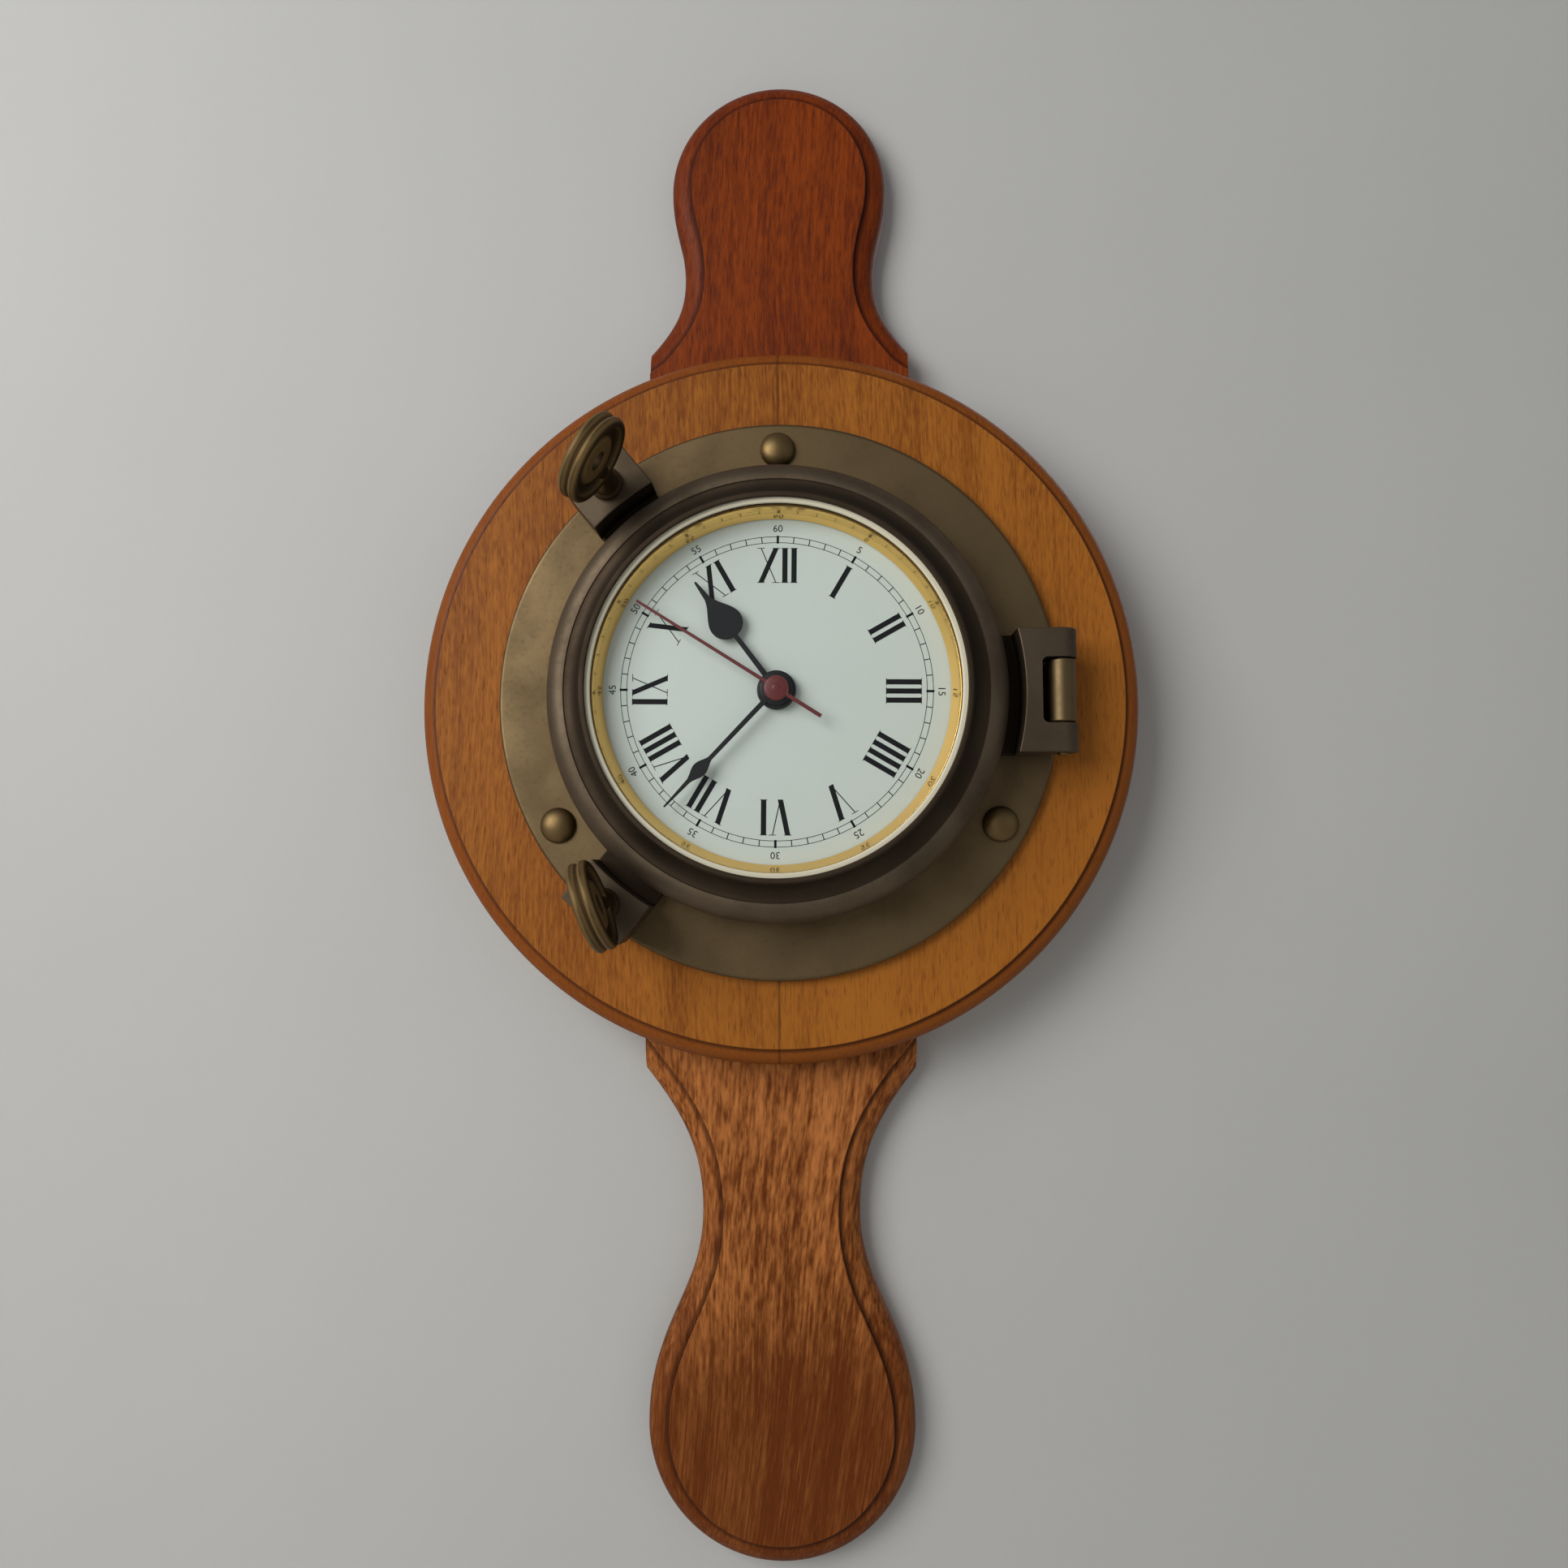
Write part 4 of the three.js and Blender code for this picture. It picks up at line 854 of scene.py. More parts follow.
def paddle_outline(bulb, end, neck, neck_at, shoulder, shoulder_at, tail):
    """Outline of a paddle, whose moulded line runs out past the shoulder's saw cut.

    The fractions of reach and swell say how far the curves' handles stretch.
    """
    way = math.copysign(1, end)
    middle = end - way * bulb
    past = 1.35 * shoulder
    reach = abs(neck_at - shoulder_at)
    swell = abs(middle - neck_at)
    right = [(past, way * tail), (past, shoulder_at - way * reach * 0.42), (shoulder, shoulder_at)]
    waist = (neck + (shoulder - neck) * 0.3, shoulder_at + way * reach * 0.35)
    right += bezier([right[-1], waist, (neck, neck_at - way * reach * 0.4), (neck, neck_at)], 24)
    hip = (bulb, middle - way * swell * 0.45)
    right += bezier([right[-1], (neck, neck_at + way * swell * 0.4), hip, (bulb, middle)], 24)
    right += arc(0, middle, bulb, 0, way * 90, 40)[1:]
    return right + [(-x, y) for x, y in right[-2::-1]]


class CLOCK_OT_back_board(bpy.types.Operator):
    """Makes the turned disc and the two moulded paddles behind it"""

    bl_idname = "clock.back_board"
    bl_label = "Back board"

    def paddle(self, context, name, outline, holes, recess, slot):
        size = InMillimetres(context.scene.clock_board)
        board = layered(name, outline, edge_section(size, 0, PADDLE_FRONT, size.paddle_ovolo))
        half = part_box(name)[1].x / MM
        past = PADDLE_FRONT + 1
        far = 500  # beyond both ends of either paddle
        combined(board, [block("saw_cut", -half, half, -far, far, -1, past)], "INTERSECT")
        head, shank = 4.6, 2.4
        sink = [(0, -1), (head, -1), (head, 0.6), (shank, 3), (shank, past), (0, past)]
        cuts = [turned("screw_hole", sink, SMALL_SIDES, at) for at in holes]
        combined(board, cuts + recess, "DIFFERENCE")
        finished(context, board, "back_board", slot, slot, name)

    def execute(self, context):
        size = InMillimetres(context.scene.clock_board)
        moulding = edge_section(size, DISC_BACK, DISC_FRONT, size.ovolo)
        section = [(size.disc_radius - inset, z) for inset, z in moulding]
        bore = [(size.disc_hole, DISC_FRONT - 0.4), (size.disc_hole, DISC_BACK + 0.4)]
        lip = [(size.disc_hole + 0.4, DISC_FRONT), *bore, (size.disc_hole + 0.4, DISC_BACK)]
        disc = turned("turned_disc", [*section, *lip])
        finished(context, disc, "back_board", "disc_wood", "disc_wood", "disc_board")

        places = [node_centre(f"board_screw_{i}") for i in (1, 2, 3, 4)]
        for name, slot in (("upper_paddle", "upper_wood"), ("lower_paddle", "lower_wood")):
            part = name.split("_")[0]
            low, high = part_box(name)
            way = 1 if part == "upper" else -1
            end = ((high.z if way > 0 else low.z) - AXIS_Z) / MM
            form = [getattr(size, f"{part}_{key}") for key in ("bulb", "neck", "neck_at", "shoulder_at")]
            outline = paddle_outline(form[0], end, form[1], form[2], high.x / MM, form[3], size.tail)
            holes = [(x, y) for x, y in places if y * way > 0]
            recess = hanger_recess() if way > 0 else []
            self.paddle(context, name, outline, holes, recess, slot)
        return {"FINISHED"}


def hanger_recess():
    """The pocket for the hanger plate, and the deeper pocket for the head of the wall screw."""
    low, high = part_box("hanger_plate")
    y = node_centre("hanger_plate")[1]
    gap = 0.3
    half = (high.x - low.x) / 2 / MM + gap
    tall = (high.z - low.z) / 2 / MM + gap
    depth = depth_of("hanger_plate")[1] + gap
    ends = arc(0, y + tall - half, half, 0, 180, 24) + arc(0, y - tall + half, half, 180, 360, 24)
    return [plate("plate_pocket", ends, -1, depth), block("head_pocket", -7, 7, y - 14, y + 9, 0, 7)]


class CLOCK_OT_board_fittings(bpy.types.Operator):
    """Makes the wood screws and the keyhole plate on the back of the board"""

    bl_idname = "clock.board_fittings"
    bl_label = "Board fittings"

    def screws(self, context, name, screw, tree, nodes, layout):
        """Copies of a screw on a grid, in place of the nodes."""
        values = {**layout, "Finish": finish_of(context, "steel")}
        made = repeated(name, tree, screw, values)
        finished(context, made, "back_board", "steel", "steel", *nodes, in_frame=True)

    def execute(self, context):
        tree = grid_tree()
        head, shank = 4.1, 1.8
        profile = [(0, 0.3), (head - 0.2, 0.3), (head, 0.5), (shank, 2.9), (shank, 17), (0, 19)]
        screw = turned("wood_screw", profile, SMALL_SIDES)
        combined(screw, [block("slot", -6, 6, -0.5, 0.5, -1, 1)], "DIFFERENCE")
        x, y = node_centre("board_screw_2")
        layout = {"Columns": 2, "Rows": 2, "Width": 2 * x, "Height": 2 * y, "Rise": 0.0}
        self.screws(context, "board_screws", screw, tree, [f"board_screw_{i}" for i in (1, 2, 3, 4)], layout)

        profile = [(0, 0.1), (1.6, 0.2), (2.4, 0.6), (2.7, 1), (1.35, 1), (1.35, 7), (0, 8.5)]
        screw = turned("plate_screw", profile, SMALL_SIDES)
        combined(screw, [block("slot", -4, 4, -0.3, 0.3, -1, 0.5)], "DIFFERENCE")
        nodes = ("hanger_screw_1", "hanger_screw_2")
        first, second = (node_centre(node)[1] for node in nodes)
        spread = {"Width": 0.0, "Height": first - second, "Rise": (first + second) / 2}
        self.screws(context, "hanger_screws", screw, tree, nodes, {"Columns": 1, "Rows": 2, **spread})

        keyhole = copy_of_node("keyhole_plate", "hanger_plate", 0.2)
        finished(context, keyhole, "back_board", "steel", "steel", "hanger_plate", in_frame=True)
        return {"FINISHED"}


# Porthole


class CLOCK_OT_porthole_frame(bpy.types.Operator):
    """Makes the flange with its coaming and hinge knuckle, and the dome screws"""

    bl_idname = "clock.porthole_frame"
    bl_label = "Porthole frame"

    def execute(self, context):
        size = InMillimetres(context.scene.clock_porthole)
        back = depth_of("porthole_frame")[0]
        rim = FACE + size.coaming_height
        corners = [
            (size.coaming_inner, back, 0.3),
            (size.flange_radius, back, 0.2),
            (size.flange_radius, FACE, 0.9),
            (size.coaming_outer, FACE, 1.0),
            (size.coaming_outer, rim, 0.4),
            (size.coaming_inner, rim, 0.4),
        ]
        ring = turned("porthole_flange", rounded(corners))
        combined(ring, [self.knuckle(size)], "UNION")
        cuts = [pin_hole(size)]
        behind, before = 15, 35  # on either side of the flange
        screw_hole, dog_hole = 2.3, 3
        for i in (1, 2, 3):
            cuts.append(rod("hole", screw_hole, behind, before, node_centre(f"frame_screw_{i}"), 32))
        for name in ("upper_dog_turn", "lower_dog_turn"):
            cuts.append(rod("hole", dog_hole, behind, before, joint_place(name)[:2]))
        combined(ring, cuts, "DIFFERENCE")
        finished(context, ring, "back_board", "bronze", "flange_bronze", "porthole_frame")
        self.domes(context, size)
        return {"FINISHED"}

    def knuckle(self, size):
        hinge = joint_place("door_hinge")
        x, high = hinge.x, hinge.z - FACE
        gap = 0.4
        section = [(x - size.knuckle, -1), (x + 1, -1), (x + size.knuckle, high - 3)]
        section += arc(x, high, size.knuckle, 0, 180, 32)
        return eased(along_y("knuckle", section, gap - size.fork_slot, size.fork_slot - gap), 0.35)

    def domes(self, context, size):
        foot = FACE + 0.3
        shank = 1.9
        quarter = arc(0, 0, 1, 0, 90, 16)[:-1]
        dome = [(size.dome_radius * c, foot + size.dome_height * s) for c, s in quarter]
        profile = [(0, FACE - 13), (shank, FACE - 10), (shank, foot), *dome, (0, foot + size.dome_height)]
        screw = turned("dome_screw", profile, SMALL_SIDES)
        start = {"Count": 3, "Orbit": size.dome_orbit, "Start": math.pi / 2}
        values = {**start, "Finish": finish_of(context, "dome_bronze")}
        screws = repeated("dome_screws", ring_tree(), screw, values)
        nodes = [f"frame_screw_{i}" for i in (1, 2, 3)]
        finished(context, screws, "back_board", "bronze", "dome_bronze", *nodes, in_frame=True)


def pin_hole(size):
    """A rod a little thicker than the hinge pin, to cut the pin's hole with."""
    hinge = joint_place("door_hinge")
    reach = 30
    return along_y("pin_hole", circle(hinge.x, hinge.z - FACE, size.pin + 0.3, 32), -reach, reach)


class CLOCK_OT_door(bpy.types.Operator):
    """Makes the door ring with its hinge fork and ears, its pin and its glazing"""

    bl_idname = "clock.door"
    bl_label = "Door"

    BELOW, ABOVE = FACE - 5, FACE + 30  # past the foot and the top of the lugs
    FOOT = 0.7  # height of the lugs' undersides above the flange

    def ring(self, size):
        """The turned ring: a rounded outer shoulder, a quirk, a cove and a lip round the glass."""
        top = size.door_height
        shoulder, start, rise = 54.2, 10.8, 6.4
        quirk_at, quirk_high, rim = 53.9, 17.0, 49.3
        foot = 0.5
        seat_foot, skirt_top = 15.2, 13.4
        quarter = arc(0, 0, 1, 0, 90, 14)
        wide, deep = quirk_at - rim, top - 0.5 - quirk_high
        convex = [(shoulder + (size.door_radius - shoulder) * c, start + rise * s) for c, s in quarter]
        cove = [(quirk_at - wide * c, top - 0.5 - deep * s) for c, s in quarter[::-1]]
        corners = [(rim, top - 0.5, 0), (rim - 0.4, top, 0.15)]
        corners += [(size.door_lip, top, 0.25), (size.door_lip, top - 1, 0)]
        lip = rounded(corners, False)
        inside = [(size.door_seat, top - 1), (size.door_seat, seat_foot), (size.door_skirt, skirt_top)]
        skirt = [(size.door_skirt, foot + 0.4), (size.door_skirt + 0.4, foot), (size.door_radius - 0.4, foot)]
        profile = [*skirt, (size.door_radius, foot + 0.4), *convex, *cove, *lip[1:], *inside]
        return turned("porthole_door", [(r, FACE + h) for r, h in profile])

    def lug(self, size, section, half):
        """An ear or fork block, hollowed to follow the ring, with a low web to the ring."""
        high = along_y("lug", section, -half, half)
        groove = rod("groove", size.ear_inner, self.BELOW, self.ABOVE, sides=SIDES)
        combined(high, [groove], "DIFFERENCE")
        eased(high, 0.35)
        low, inner = FACE + self.FOOT, size.door_skirt + 3
        web = block("web", inner, size.ear_inner + 2, -half + 0.2, half - 0.2, low, FACE + size.web_height)
        return combined(high, [eased(web, 0.3)], "UNION")

    def fork(self, size):
        hinge = joint_place("door_hinge")
        x, high = hinge.x, hinge.z - FACE
        inner = size.ear_inner - 5
        section = [(inner, self.FOOT), (inner + 8, self.FOOT), (x - 1, high - size.fork_round + 0.2)]
        section += arc(x, high, size.fork_round, -60, 90, 20) + [(inner, high + size.fork_round)]
        fork = self.lug(size, section, size.fork_half)
        past = 95  # beyond the fork's round
        corners = [(size.fork_slot_at, -size.fork_slot, 1.5), (past, -size.fork_slot, 0)]
        corners += [(past, size.fork_slot, 0), (size.fork_slot_at, size.fork_slot, 1.5)]
        return combined(fork, [plate("slot", rounded(corners), FACE - 10, FACE + 40)], "DIFFERENCE")

    def ear(self, size, place):
        inner = size.ear_inner - 5
        outer, top = size.ear_outer, size.ear_height
        section = [(inner, self.FOOT), (outer, self.FOOT), (outer, top), (inner, top)]
        ear = self.lug(size, section, size.ear_half)
        hole = rod("hole", 2.8, self.BELOW, self.ABOVE, (place.xy.length, 0))
        combined(ear, [hole], "DIFFERENCE")
        return moved(ear, Matrix.Rotation(math.atan2(place.y, place.x), 4, "Z"))

    def execute(self, context):
        size = InMillimetres(context.scene.clock_porthole)
        door = self.ring(size)
        lugs = [self.fork(size)]
        for part in ("upper", "lower"):
            lugs.append(self.ear(size, joint_place(f"{part}_dog_turn")))
        combined(door, lugs, "UNION")
        combined(door, [pin_hole(size)], "DIFFERENCE")
        finished(context, door, "door", "bronze", "door_bronze", "door_ring")

        hinge = joint_place("door_hinge")
        low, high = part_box("hinge_pin")
        reach = (high.z - low.z) / 2 / MM
        pin = along_y("hinge_rod", circle(hinge.x, hinge.z - FACE, size.pin, 48), -reach, reach)
        finished(context, eased(pin, 0.35), "door", "brass", "dome_bronze", "hinge_pin")
        self.glazing(context)
        return {"FINISHED"}

    def glazing(self, context):
        """The seal, the pane and the split ring that holds the pane in the door."""
        back, front = depth_of("glass_seal")
        bore = 46.5
        rounds = (0.1, 0.1, 0.1, 0.4)
        seal = flat_ring("cream_seal_ring", bore, radius_of("glass_seal"), back, front, rounds)
        finished(context, seal, "door", "cream_seal", "cream_seal", "glass_seal")

        back, front = depth_of("door_glass")
        edge = radius_of("door_glass")
        side = [(edge - 0.2, back), (edge, back + 0.2), (edge, front - 0.3), (edge - 0.6, front)]
        profile = [(0, back), (edge - 0.4, back), *side, (edge - 0.8, front), (0, front)]
        glass = turned("door_pane", profile)
        finished(context, glass, "door", "clear_glass", "glass", "door_glass")

        back, front = depth_of("glass_spring_ring")
        edge = radius_of("glass_spring_ring")
        wire = 1.2
        spring = flat_ring("spring_ring", edge - wire, edge, back, front, [0.3] * 4)
        combined(spring, [block("gap", -1.2, 1.2, -60, -40, back - 2, front + 2)], "DIFFERENCE")
        finished(context, spring, "door", "brass", "brass", "glass_spring_ring")


class CLOCK_OT_dogs(bpy.types.Operator):
    """Makes the two eye-headed thumb screws that hold the door shut"""

    bl_idname = "clock.dogs"
    bl_label = "Dogs"

    BEAD = 1.3  # radius and half spacing of the two beads round the rim
    HUB = 6.0  # radius of the raised middle of the eye
    # painted shade on the stem, which sits under the eye
    STEM_WEAR = -0.5

    def eye(self, size):
        """The eye about z: a low hub with a hole in its middle, a hollow round it and a rim of two beads."""
        hole, web, rim = size.eye_hole, size.eye_web, size.eye_radius
        crest = rim - self.BEAD
        face = [
            (hole, web / 2, 0),
            (hole, web + 1.1, 0.5),
            (self.HUB - 0.3, web + 0.9, 0.7),
            (self.HUB + 0.9, web, 0.6),
            (crest - 1.6, web, 0.6),
            (crest - 0.8, 2.2, 0),
        ]
        half = rounded(face, False)
        half += [(crest + self.BEAD * c, self.BEAD * (1 + s)) for c, s in arc(0, 0, 1, 130, -55, 18)]
        groove = [(rim - 0.5, 0.1)]
        side = half + groove
        profile = side + [(r, -t) for r, t in side[::-1]]
        return turned("eye", profile, 128)

    def wear(self, size, reach, depth):
        """How rubbed, up to 1, or how dark with painted shade and patina, down to -1, the eye is at a
        distance from its middle.
        """
        # the hole is painted black as shade
        if reach < size.eye_hole + 0.1:
            return -1
        if reach < self.HUB:
            return 0
        # the hollow round the hub: painted shade and patina
        if reach < size.eye_radius - 2.4:
            return -0.55
        # the beads are rubbed bright and the valley between them gets painted shade
        ridge = 1 - min(1, abs(abs(depth) - self.BEAD) / self.BEAD)
        return ridge * 1.4 - 0.6

    def stem(self, size, eye):
        """The shank, a collar that bears on the ear, and a neck that tapers into the eye."""
        low = size.ear_height + 0.3
        root = eye - size.eye_radius + 2.7
        corners = [
            (0, -2, 0),
            (2.5, -2, 0.5),
            (2.5, low, 0),
            (4.3, low, 0.3),
            (4.3, low + 1.3, 0.6),
            (3.5, low + 2.1, 0.8),
            (3.1, root - 1.4, 2.0),
            (2.4, root, 0),
            (0, root, 0),
        ]
        return turned("stem", [(r, FACE + h) for r, h in rounded(corners, False)], SMALL_SIDES)

    def execute(self, context):
        group = context.scene.clock_porthole
        size = InMillimetres(group)
        for part in ("upper", "lower"):
            eye = getattr(size, f"{part}_eye")
            upright = Matrix.Translation((0, 0, FACE + eye)) @ UPRIGHT
            head = moved(self.eye(size), upright)
            dog = combined(head, [self.stem(size, eye)], "UNION")
            # the crest attribute holds wear and painted shade: rubbed beads up to 1, shaded hole, hollow,
            # valleys and stem below 0
            crest = dog.data.attributes.new("crest", "FLOAT", "POINT")
            for vertex, mark in zip(dog.data.vertices, crest.data):
                reach = math.hypot(vertex.co.x, vertex.co.z - FACE - eye)
                on_stem = vertex.co.z < FACE + eye - size.eye_radius
                mark.value = self.STEM_WEAR if on_stem else self.wear(size, reach, vertex.co.y)
            place = joint_place(f"{part}_dog_turn")
            angle = getattr(group, f"{part}_dog_turn")
            moved(dog, Matrix.Translation((place.x, place.y, 0)) @ Matrix.Rotation(angle, 4, "Z"))
            dog.name = f"{part}_dog_screw"
            finished(context, dog, f"{part}_dog", "bronze", "dog_bronze", f"dog_screw_{part}")
        return {"FINISHED"}


# Dial and hands

HOURS = ("XII", "I", "II", "III", "IIII", "V", "VI", "VII", "VIII", "IX", "X", "XI")
LEANING_RIGHT = (0, 5, 11)  # hours whose thick strokes lean up to the right
STROKE, HAIR = 1.35, 0.26  # widths of the numerals' thick and thin strokes
LINE = 0.08  # half the width of the track's circles
INK = 0.03  # how far the printing stands out of the dial, and reaches into it
ADVANCE = {"I": 2.35, "V": 6.1, "X": 6.1}


def stroke(name, x0, y0, x1, y1, width, low, high):
    """A stroke of a numeral from one height to another, with its ends cut level."""
    half = width / 2
    return plate(name, [(x0 - half, y0), (x0 + half, y0), (x1 + half, y1), (x1 - half, y1)], low, high)


def numeral(text, way, base, top, low, high):
    """A roman numeral upright over the centre, whose thick strokes lean left, or right where way is 1."""
    lean = 1.95
    serif = 0.17
    thin_top = high - 0.008
    parts = []
    x = -sum(ADVANCE[c] for c in text) / 2
    for letter in text:
        x += ADVANCE[letter] / 2
        feet, heads = [x], [x]
        if letter == "I":
            parts.append(stroke("stem", x, base, x, top, STROKE, low, high))
        elif letter == "V":
            parts.append(stroke("thick", x, base, x + way * lean, top, STROKE, low, high))
            parts.append(stroke("thin", x, base, x - way * lean, top, HAIR, low, thin_top))
            feet, heads = [], [x - lean, x + lean]
        else:
            parts.append(stroke("thick", x - way * lean, base, x + way * lean, top, STROKE, low, high))
            parts.append(stroke("thin", x + way * lean, base, x - way * lean, top, HAIR, low, thin_top))
            feet = heads = [x - lean, x + lean]
        for xs, y in ((feet, base), (heads, top - serif)):
            parts += [block("serif", c - 0.95, c + 0.95, y, y + serif, low, high - 0.004) for c in xs]
        x += ADVANCE[letter] / 2
    return parts


def number(text, size, low, high):
    """A plain minute number as a solid standing upright over the centre."""
    curve = bpy.data.curves.new("number", "FONT")
    curve.body = text
    curve.size = size
    curve.align_x = "CENTER"
    curve.align_y = "CENTER"
    curve.extrude = (high - low) / 2
    curve.resolution_u = 3
    lettering = linked("number", curve)
    graph = bpy.context.evaluated_depsgraph_get()
    mesh = bpy.data.meshes.new_from_object(lettering.evaluated_get(graph))
    bpy.data.objects.remove(lettering)
    mesh.transform(Matrix.Translation((0, 0, (low + high) / 2)))
    outward(mesh)
    return linked("number", mesh)


def clockwise(degrees):
    return Matrix.Rotation(-math.radians(degrees), 4, "Z")


class CLOCK_OT_dial(bpy.types.Operator):
    """Makes the dial, its printing and the gold ring round it"""

    bl_idname = "clock.dial"
    bl_label = "Dial"

    def execute(self, context):
        size = InMillimetres(context.scene.clock_dial)
        back, front = depth_of("dial")
        hole = 4.2
        dial = flat_ring("dial_plate", hole, radius_of("dial"), back, front, (0.1, 0.1, 0.2, 0.1))
        finished(context, dial, "back_board", "dial_white", "enamel", "dial")

        foot, rim = depth_of("dial_surround")
        inner, outer = 44.4, radius_of("dial_surround")
        wall, slope = 47.1, 46.4
        corners = [(inner, foot, 0.1), (outer, foot, 0.1), (outer, foot + 0.8, 0.2), (wall, foot + 1.4, 0.1)]
        corners += [(wall, rim, 0.2), (slope, rim, 0.1)]
        ring = turned("gold_surround", rounded(corners))
        finished(context, ring, "back_board", "gold", "gold", "dial_surround")
        self.print_dial(context, size, front, context.scene.clock_dial.print_angle)
        return {"FINISHED"}

    def print_dial(self, context, size, face, angle):
        low, high = face - INK, face + INK
        parts = []
        for hour, text in enumerate(HOURS):
            way = 1 if hour in LEANING_RIGHT else -1
            letters = numeral(text, way, size.numeral_inner, size.numeral_outer, low, high)
            parts += [moved(letter, clockwise(hour * 30)) for letter in letters]
        for line in (size.track_inner, size.track_outer):
            parts.append(flat_ring("circle", line - LINE, line + LINE, low, high - 0.01))
        for minute in range(5, 65, 5):
            mark = number(str(minute), size.number_size, low, high)
            parts.append(moved(mark, clockwise(minute * 6) @ Matrix.Translation((0, size.number_orbit, 0))))
        printing = moved(joined("dial_print", parts), clockwise(math.degrees(angle)))
        finished(context, printing, "back_board", "black_lacquer", "ink")

        tree = ring_tree()
        ink = finish_of(context, "ink")
        middle = (size.track_inner + size.track_outer) / 2
        half = (size.track_outer - size.track_inner) / 2
        sorts = (("minute_ticks", 60, half, 0.24), ("five_minute_ticks", 12, half + 0.25, 0.6))
        for name, count, reach, width in sorts:
            tick = block("tick", -reach, reach, -width / 2, width / 2, low, high)
            values = {"Count": count, "Orbit": middle, "Start": -angle, "Finish": ink}
            ticks = repeated(name, tree, tick, values)
            finished(context, ticks, "back_board", "black_lacquer", "ink", in_frame=True)


class CLOCK_OT_hands(bpy.types.Operator):
    """Makes the three hands and the pin at their centre"""

    bl_idname = "clock.hands"
    bl_label = "Hands"

    def hand(self, name, right, node, boss, hole, angle, domed=0.0):
        """A thin hand from the right half of its outline, with a round boss, turned to its time."""
        back, front = depth_of(node)
        thick = 0.6
        outline = right + [(-x, y) for x, y in right[::-1] if x > 0]
        blade = plate(name, outline, back, back + thick, 0.12)
        top = back + thick if not domed else front
        cap = [(hole, back), (boss - 0.15, back), (boss, back + 0.15), (boss, top - 0.15 - domed)]
        cap += [(boss - 0.25, top - 0.05 - domed * 0.5), (boss * 0.6, top), (hole, top)]
        combined(blade, [turned("boss", cap, 96)], "UNION")
        if hole:
            combined(blade, [rod("bore", hole, back - 1, front + 1)], "DIFFERENCE")
        return moved(blade, clockwise(math.degrees(angle)))

    def execute(self, context):
        group = context.scene.clock_dial
        size = InMillimetres(group)
        tip = size.hour_length
        spade = [(0.75, 0), (0.6, 17.2)]
        spade += bezier([(0.6, 17.2), (2.6, 17.4), (4.4, 19.0), (4.4, 21.5)], 12)
        spade += bezier([(4.4, 21.5), (4.3, 24.2), (1.5, 26.4), (0.8, 29.3)], 12)
        spade += [(0.3, tip - 0.3), (0.12, tip)]
        hour = self.hand("hour_spade", spade, "hour_hand", 4.8, 2.65, group.hour_angle)
        finished(context, hour, "hour", "black_lacquer", "black_lacquer", "hour_hand")

        tip = size.minute_length
        leaf = [(0.65, 0), (0.55, 24.2)]
        leaf += bezier([(0.55, 24.2), (0.8, 25.6), (1.85, 26.6), (1.85, 28.2)], 10)
        leaf += bezier([(1.85, 28.2), (1.8, 29.6), (0.9, 30.6), (0.55, 32.2)], 10)
        leaf += [(0.22, tip - 0.2), (0.1, tip)]
        minute = self.hand("minute_leaf", leaf, "minute_hand", 4.2, 1.95, group.minute_angle)
        finished(context, minute, "minute", "black_lacquer", "black_lacquer", "minute_hand")

        tip, tail = size.second_length, size.second_tail
        sweep = [(0.5, -tail), (0.48, 0), (0.34, tip)]
        second = self.hand("second_sweep", sweep, "second_hand", 3.2, 0, group.second_angle, 0.35)
        finished(context, second, "seconds", "red_lacquer", "red_lacquer", "second_hand")
        front = depth_of("second_hand")[1]
        foot, wide = front - 0.3, 0.95
        profile = [(0, foot), (wide, foot), (wide, front), (0.7, front + 0.12), (0, front + 0.18)]
        pin = turned("seconds_pin", profile, 48)
        finished(context, pin, "seconds", "red_lacquer", "red_lacquer")
        return {"FINISHED"}


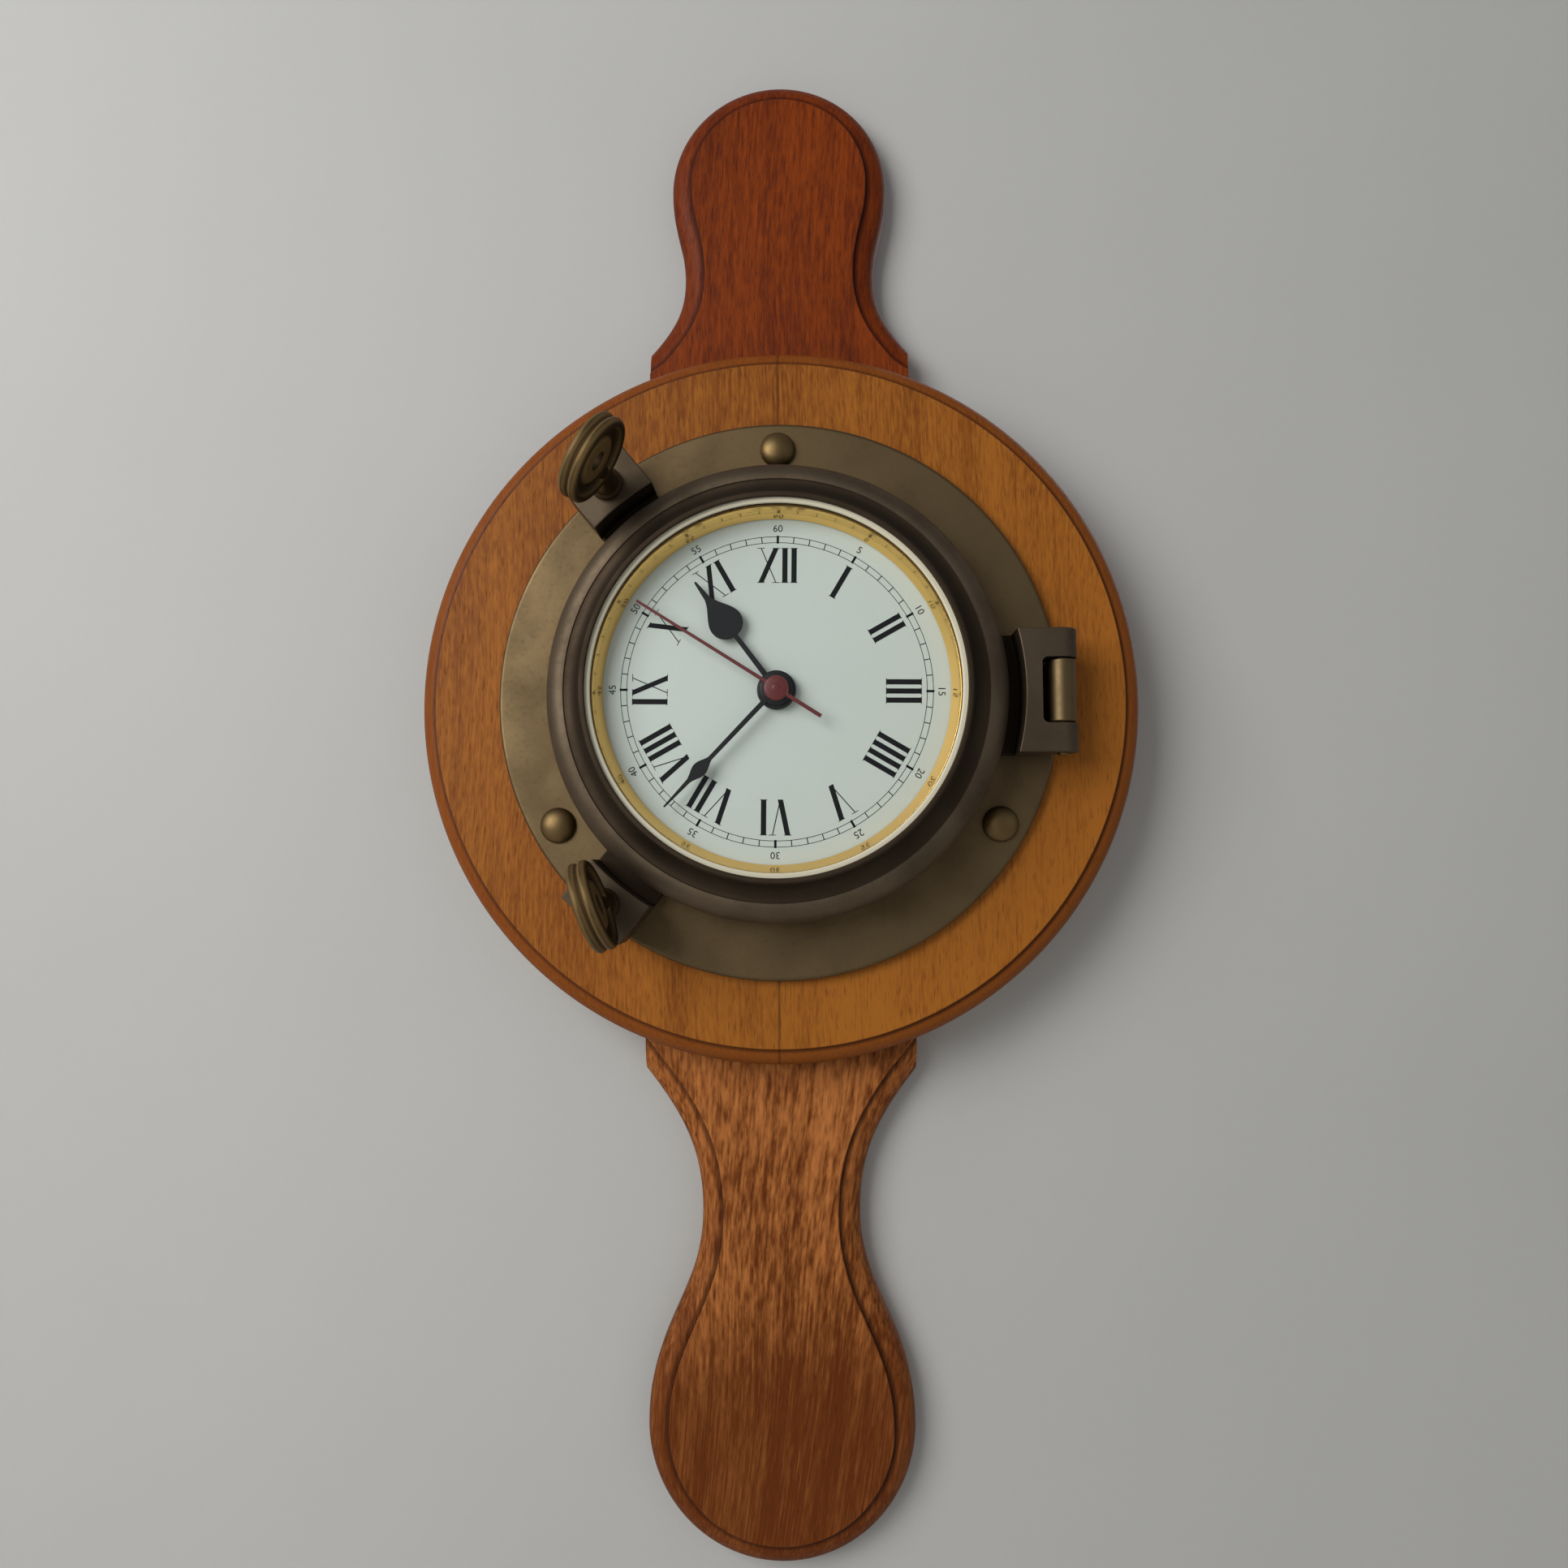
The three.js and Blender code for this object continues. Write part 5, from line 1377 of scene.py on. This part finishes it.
class CLOCK_OT_movement(bpy.types.Operator):
    """Makes the movement's nut, motion wheel, case, cell and knob, and finishes its other pieces"""

    bl_idname = "clock.movement"
    bl_label = "Movement"

    INNER = {
        "brass": ("second_wheel", "third_wheel", "centre_wheel", "cannon_pinion"),
        "white_plastic": ("step_wheel", "hour_wheel"),
        "steel": ("positive_contact", "negative_contact", "motor_stator", "motor_rotor"),
        "copper": ("motor_coil",),
        "circuit": ("circuit_board",),
        "rubber": ("rubber_washer",),
    }
    NUT = 5.0  # radius of the round nut
    BORE = 1.1  # the motion wheel keeps its size within this radius
    SLIM = 0.97  # and is this share of its size outside it

    def nut(self, context):
        """The round nut that holds the movement to the dial."""
        back, front = depth_of("fixing_nut")
        bore = 4.0
        nut = flat_ring("round_nut", bore, self.NUT, back, front, (0, 0.1, 0.5, 0.1))
        finished(context, nut, "back_board", "brass", "black_lacquer", "fixing_nut")

    def motion_wheel(self, context):
        """The motion wheel with a little less on its teeth, so that they run clear as they turn."""
        wheel = copy_of_node("reduction_wheel", "motion_wheel", 0)
        middle = TO_FRAME @ joint_place("motion_turn")
        for vertex in wheel.data.vertices:
            x, z = vertex.co.x - middle.x, vertex.co.z - middle.z
            if math.hypot(x, z) > self.BORE * MM:
                vertex.co.x = middle.x + x * self.SLIM
                vertex.co.z = middle.z + z * self.SLIM
        finished(context, wheel, "motion", "white_plastic", "white_plastic", "motion_wheel", in_frame=True)

    def execute(self, context):
        self.nut(context)
        self.motion_wheel(context)
        for node, ease in (("movement_case", 0.5), ("movement_cover", 0.35), ("setting_knob", 0.15)):
            body = "setting" if node == "setting_knob" else "back_board"
            piece = copy_of_node("moulded_" + node.split("_")[1], node, ease)
            finished(context, piece, body, "dark_plastic", "dark_plastic", node, in_frame=True)
        cell = copy_of_node("dry_cell", "battery", 0.1)
        finished(context, cell, "back_board", "cell_jacket", "cell_jacket", "battery", in_frame=True)
        for name, nodes in self.INNER.items():
            for node in nodes:
                mesh = frame["nodes"][node].data
                mesh.materials.clear()
                mesh.materials.append(finish_of(context, name))
        return {"FINISHED"}


# Stage


class CLOCK_OT_stage(bpy.types.Operator):
    """Sets the camera, the lamps, the pale cloth behind the clock and the floor"""

    bl_idname = "clock.stage"
    bl_label = "Stage"

    PHOTO = 1932  # pixels along each side of the photograph
    FOCAL = 1450  # focal length in those pixels
    EYE = (8.67, -45.11, 311.48)  # millimetres right of, above and in front of the dial's axis at the flange
    TILT = (-4.06, -1.316, 0.159)  # degrees about x, y and z

    def camera(self, context):
        lens = bpy.data.cameras.new("camera")
        lens.sensor_width = 36
        lens.lens = lens.sensor_width * self.FOCAL / self.PHOTO
        lens.clip_start = 0.01
        eye = linked("camera", lens)
        a, b, c = (math.radians(t) for t in self.TILT)
        look = Matrix.Rotation(c, 4, "Z") @ Matrix.Rotation(a, 4, "X") @ Matrix.Rotation(b, 4, "Y")
        x, y, z = self.EYE
        place = Matrix.Translation(TO_FRAME @ Vector((x, y, FACE + z)))
        eye.matrix_world = place @ UPRIGHT @ look.transposed()
        context.scene.camera = eye

    def lamp(self, name, place, width, power):
        light = bpy.data.lights.new(name, "AREA")
        light.size = width
        light.energy = power
        made = linked(name, light)
        made.visible_camera = False
        made.location = place
        aim = Vector((0, -0.03, AXIS_Z)) - Vector(place)
        made.rotation_euler = aim.to_track_quat("-Z", "Y").to_euler()

    def sheet(self, name, corners, material):
        mesh = bpy.data.meshes.new(name)
        mesh.from_pydata(corners, [], [(0, 1, 2, 3)])
        mesh.materials.append(material)
        made = linked(name, mesh)

    def cloth(self, context):
        """Pale woven cloth that is solid only from its front, so that the clock's back can be looked at."""
        finish = Finish("backdrop_cloth")
        start = finish.start
        main = tuple(context.scene.clock_colours.backdrop)
        drift = finish.noise(5, 3).mix(scaled(main, 0.93), scaled(main, 1.05))
        weave = finish.noise(900)
        normal = finish.bump(weave, 0.0001, 0.3)
        matt = start.add("BsdfDiffuse", {"Color": drift, "Normal": normal})
        behind = start.add("NewGeometry", output="Backfacing")
        shadow = start.add("LightPath", output="Is Shadow Ray")
        clear = start.add("BsdfTransparent")
        shown = (1 - behind) * (1 - shadow)
        mixed = start.add("MixShader", {0: shown, 1: clear, 2: matt})
        start.add("OutputMaterial", {"Surface": mixed})
        return finish.material

    def execute(self, context):
        self.camera(context)
        wide, far = 1.5, 0.0008
        wall = [(-wide, far, -wide), (wide, far, -wide), (wide, far, wide), (-wide, far, wide)]
        self.sheet("backdrop", wall, self.cloth(context))
        low = CAD_BOX[0].z - 0.075  # the floor lies this far below the clock
        ground = [(-wide, -wide, low), (wide, -wide, low), (wide, wide, low), (-wide, wide, low)]
        main = tuple(context.scene.clock_colours.backdrop)
        self.sheet("floor", ground, paint("pale_floor", main, 0.8, 0.03, 300))
        self.lamp("key", (-0.57, -0.7, 0.12), 0.6, 7.2)
        self.lamp("fill", (0.9, -0.9, -0.1), 0.9, 0.6)
        self.lamp("rear", (0.5, 0.9, 0.4), 0.9, 10)
        world = bpy.data.worlds.new("studio")
        world.use_nodes = True
        sky = world.node_tree.nodes["Background"].inputs
        sky["Color"].default_value = (0.9, 0.93, 1, 1)
        sky["Strength"].default_value = 0.26
        context.scene.world = world
        context.scene.view_settings.view_transform = "Standard"
        return {"FINISHED"}


OPERATORS = (
    CLOCK_OT_stage,
    CLOCK_OT_back_board,
    CLOCK_OT_board_fittings,
    CLOCK_OT_porthole_frame,
    CLOCK_OT_door,
    CLOCK_OT_dogs,
    CLOCK_OT_dial,
    CLOCK_OT_hands,
    CLOCK_OT_movement,
)


class CLOCK_PT_panel(bpy.types.Panel):
    bl_idname = "CLOCK_PT_panel"
    bl_label = "Porthole Clock"
    bl_space_type = "VIEW_3D"
    bl_region_type = "UI"
    bl_category = "Porthole Clock"

    def draw(self, context):
        for operator in OPERATORS:
            self.layout.operator(operator.bl_idname)
        for name, group in PROPERTY_GROUPS.items():
            for key in group.__annotations__:
                self.layout.prop(getattr(context.scene, name), key)


def register():
    for name, group in PROPERTY_GROUPS.items():
        bpy.utils.register_class(group)
        setattr(bpy.types.Scene, name, PointerProperty(type=group))
    for cls in (*OPERATORS, CLOCK_PT_panel):
        bpy.utils.register_class(cls)


def unregister():
    for cls in (CLOCK_PT_panel, *reversed(OPERATORS)):
        bpy.utils.unregister_class(cls)
    for name, group in PROPERTY_GROUPS.items():
        delattr(bpy.types.Scene, name)
        bpy.utils.unregister_class(group)


def main():
    register()
    bpy.ops.clock.stage()
    bpy.ops.clock.back_board()
    bpy.ops.clock.board_fittings()
    bpy.ops.clock.porthole_frame()
    bpy.ops.clock.door()
    bpy.ops.clock.dogs()
    bpy.ops.clock.dial()
    bpy.ops.clock.hands()
    bpy.ops.clock.movement()
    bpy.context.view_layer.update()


if __name__ == "__main__":
    main()
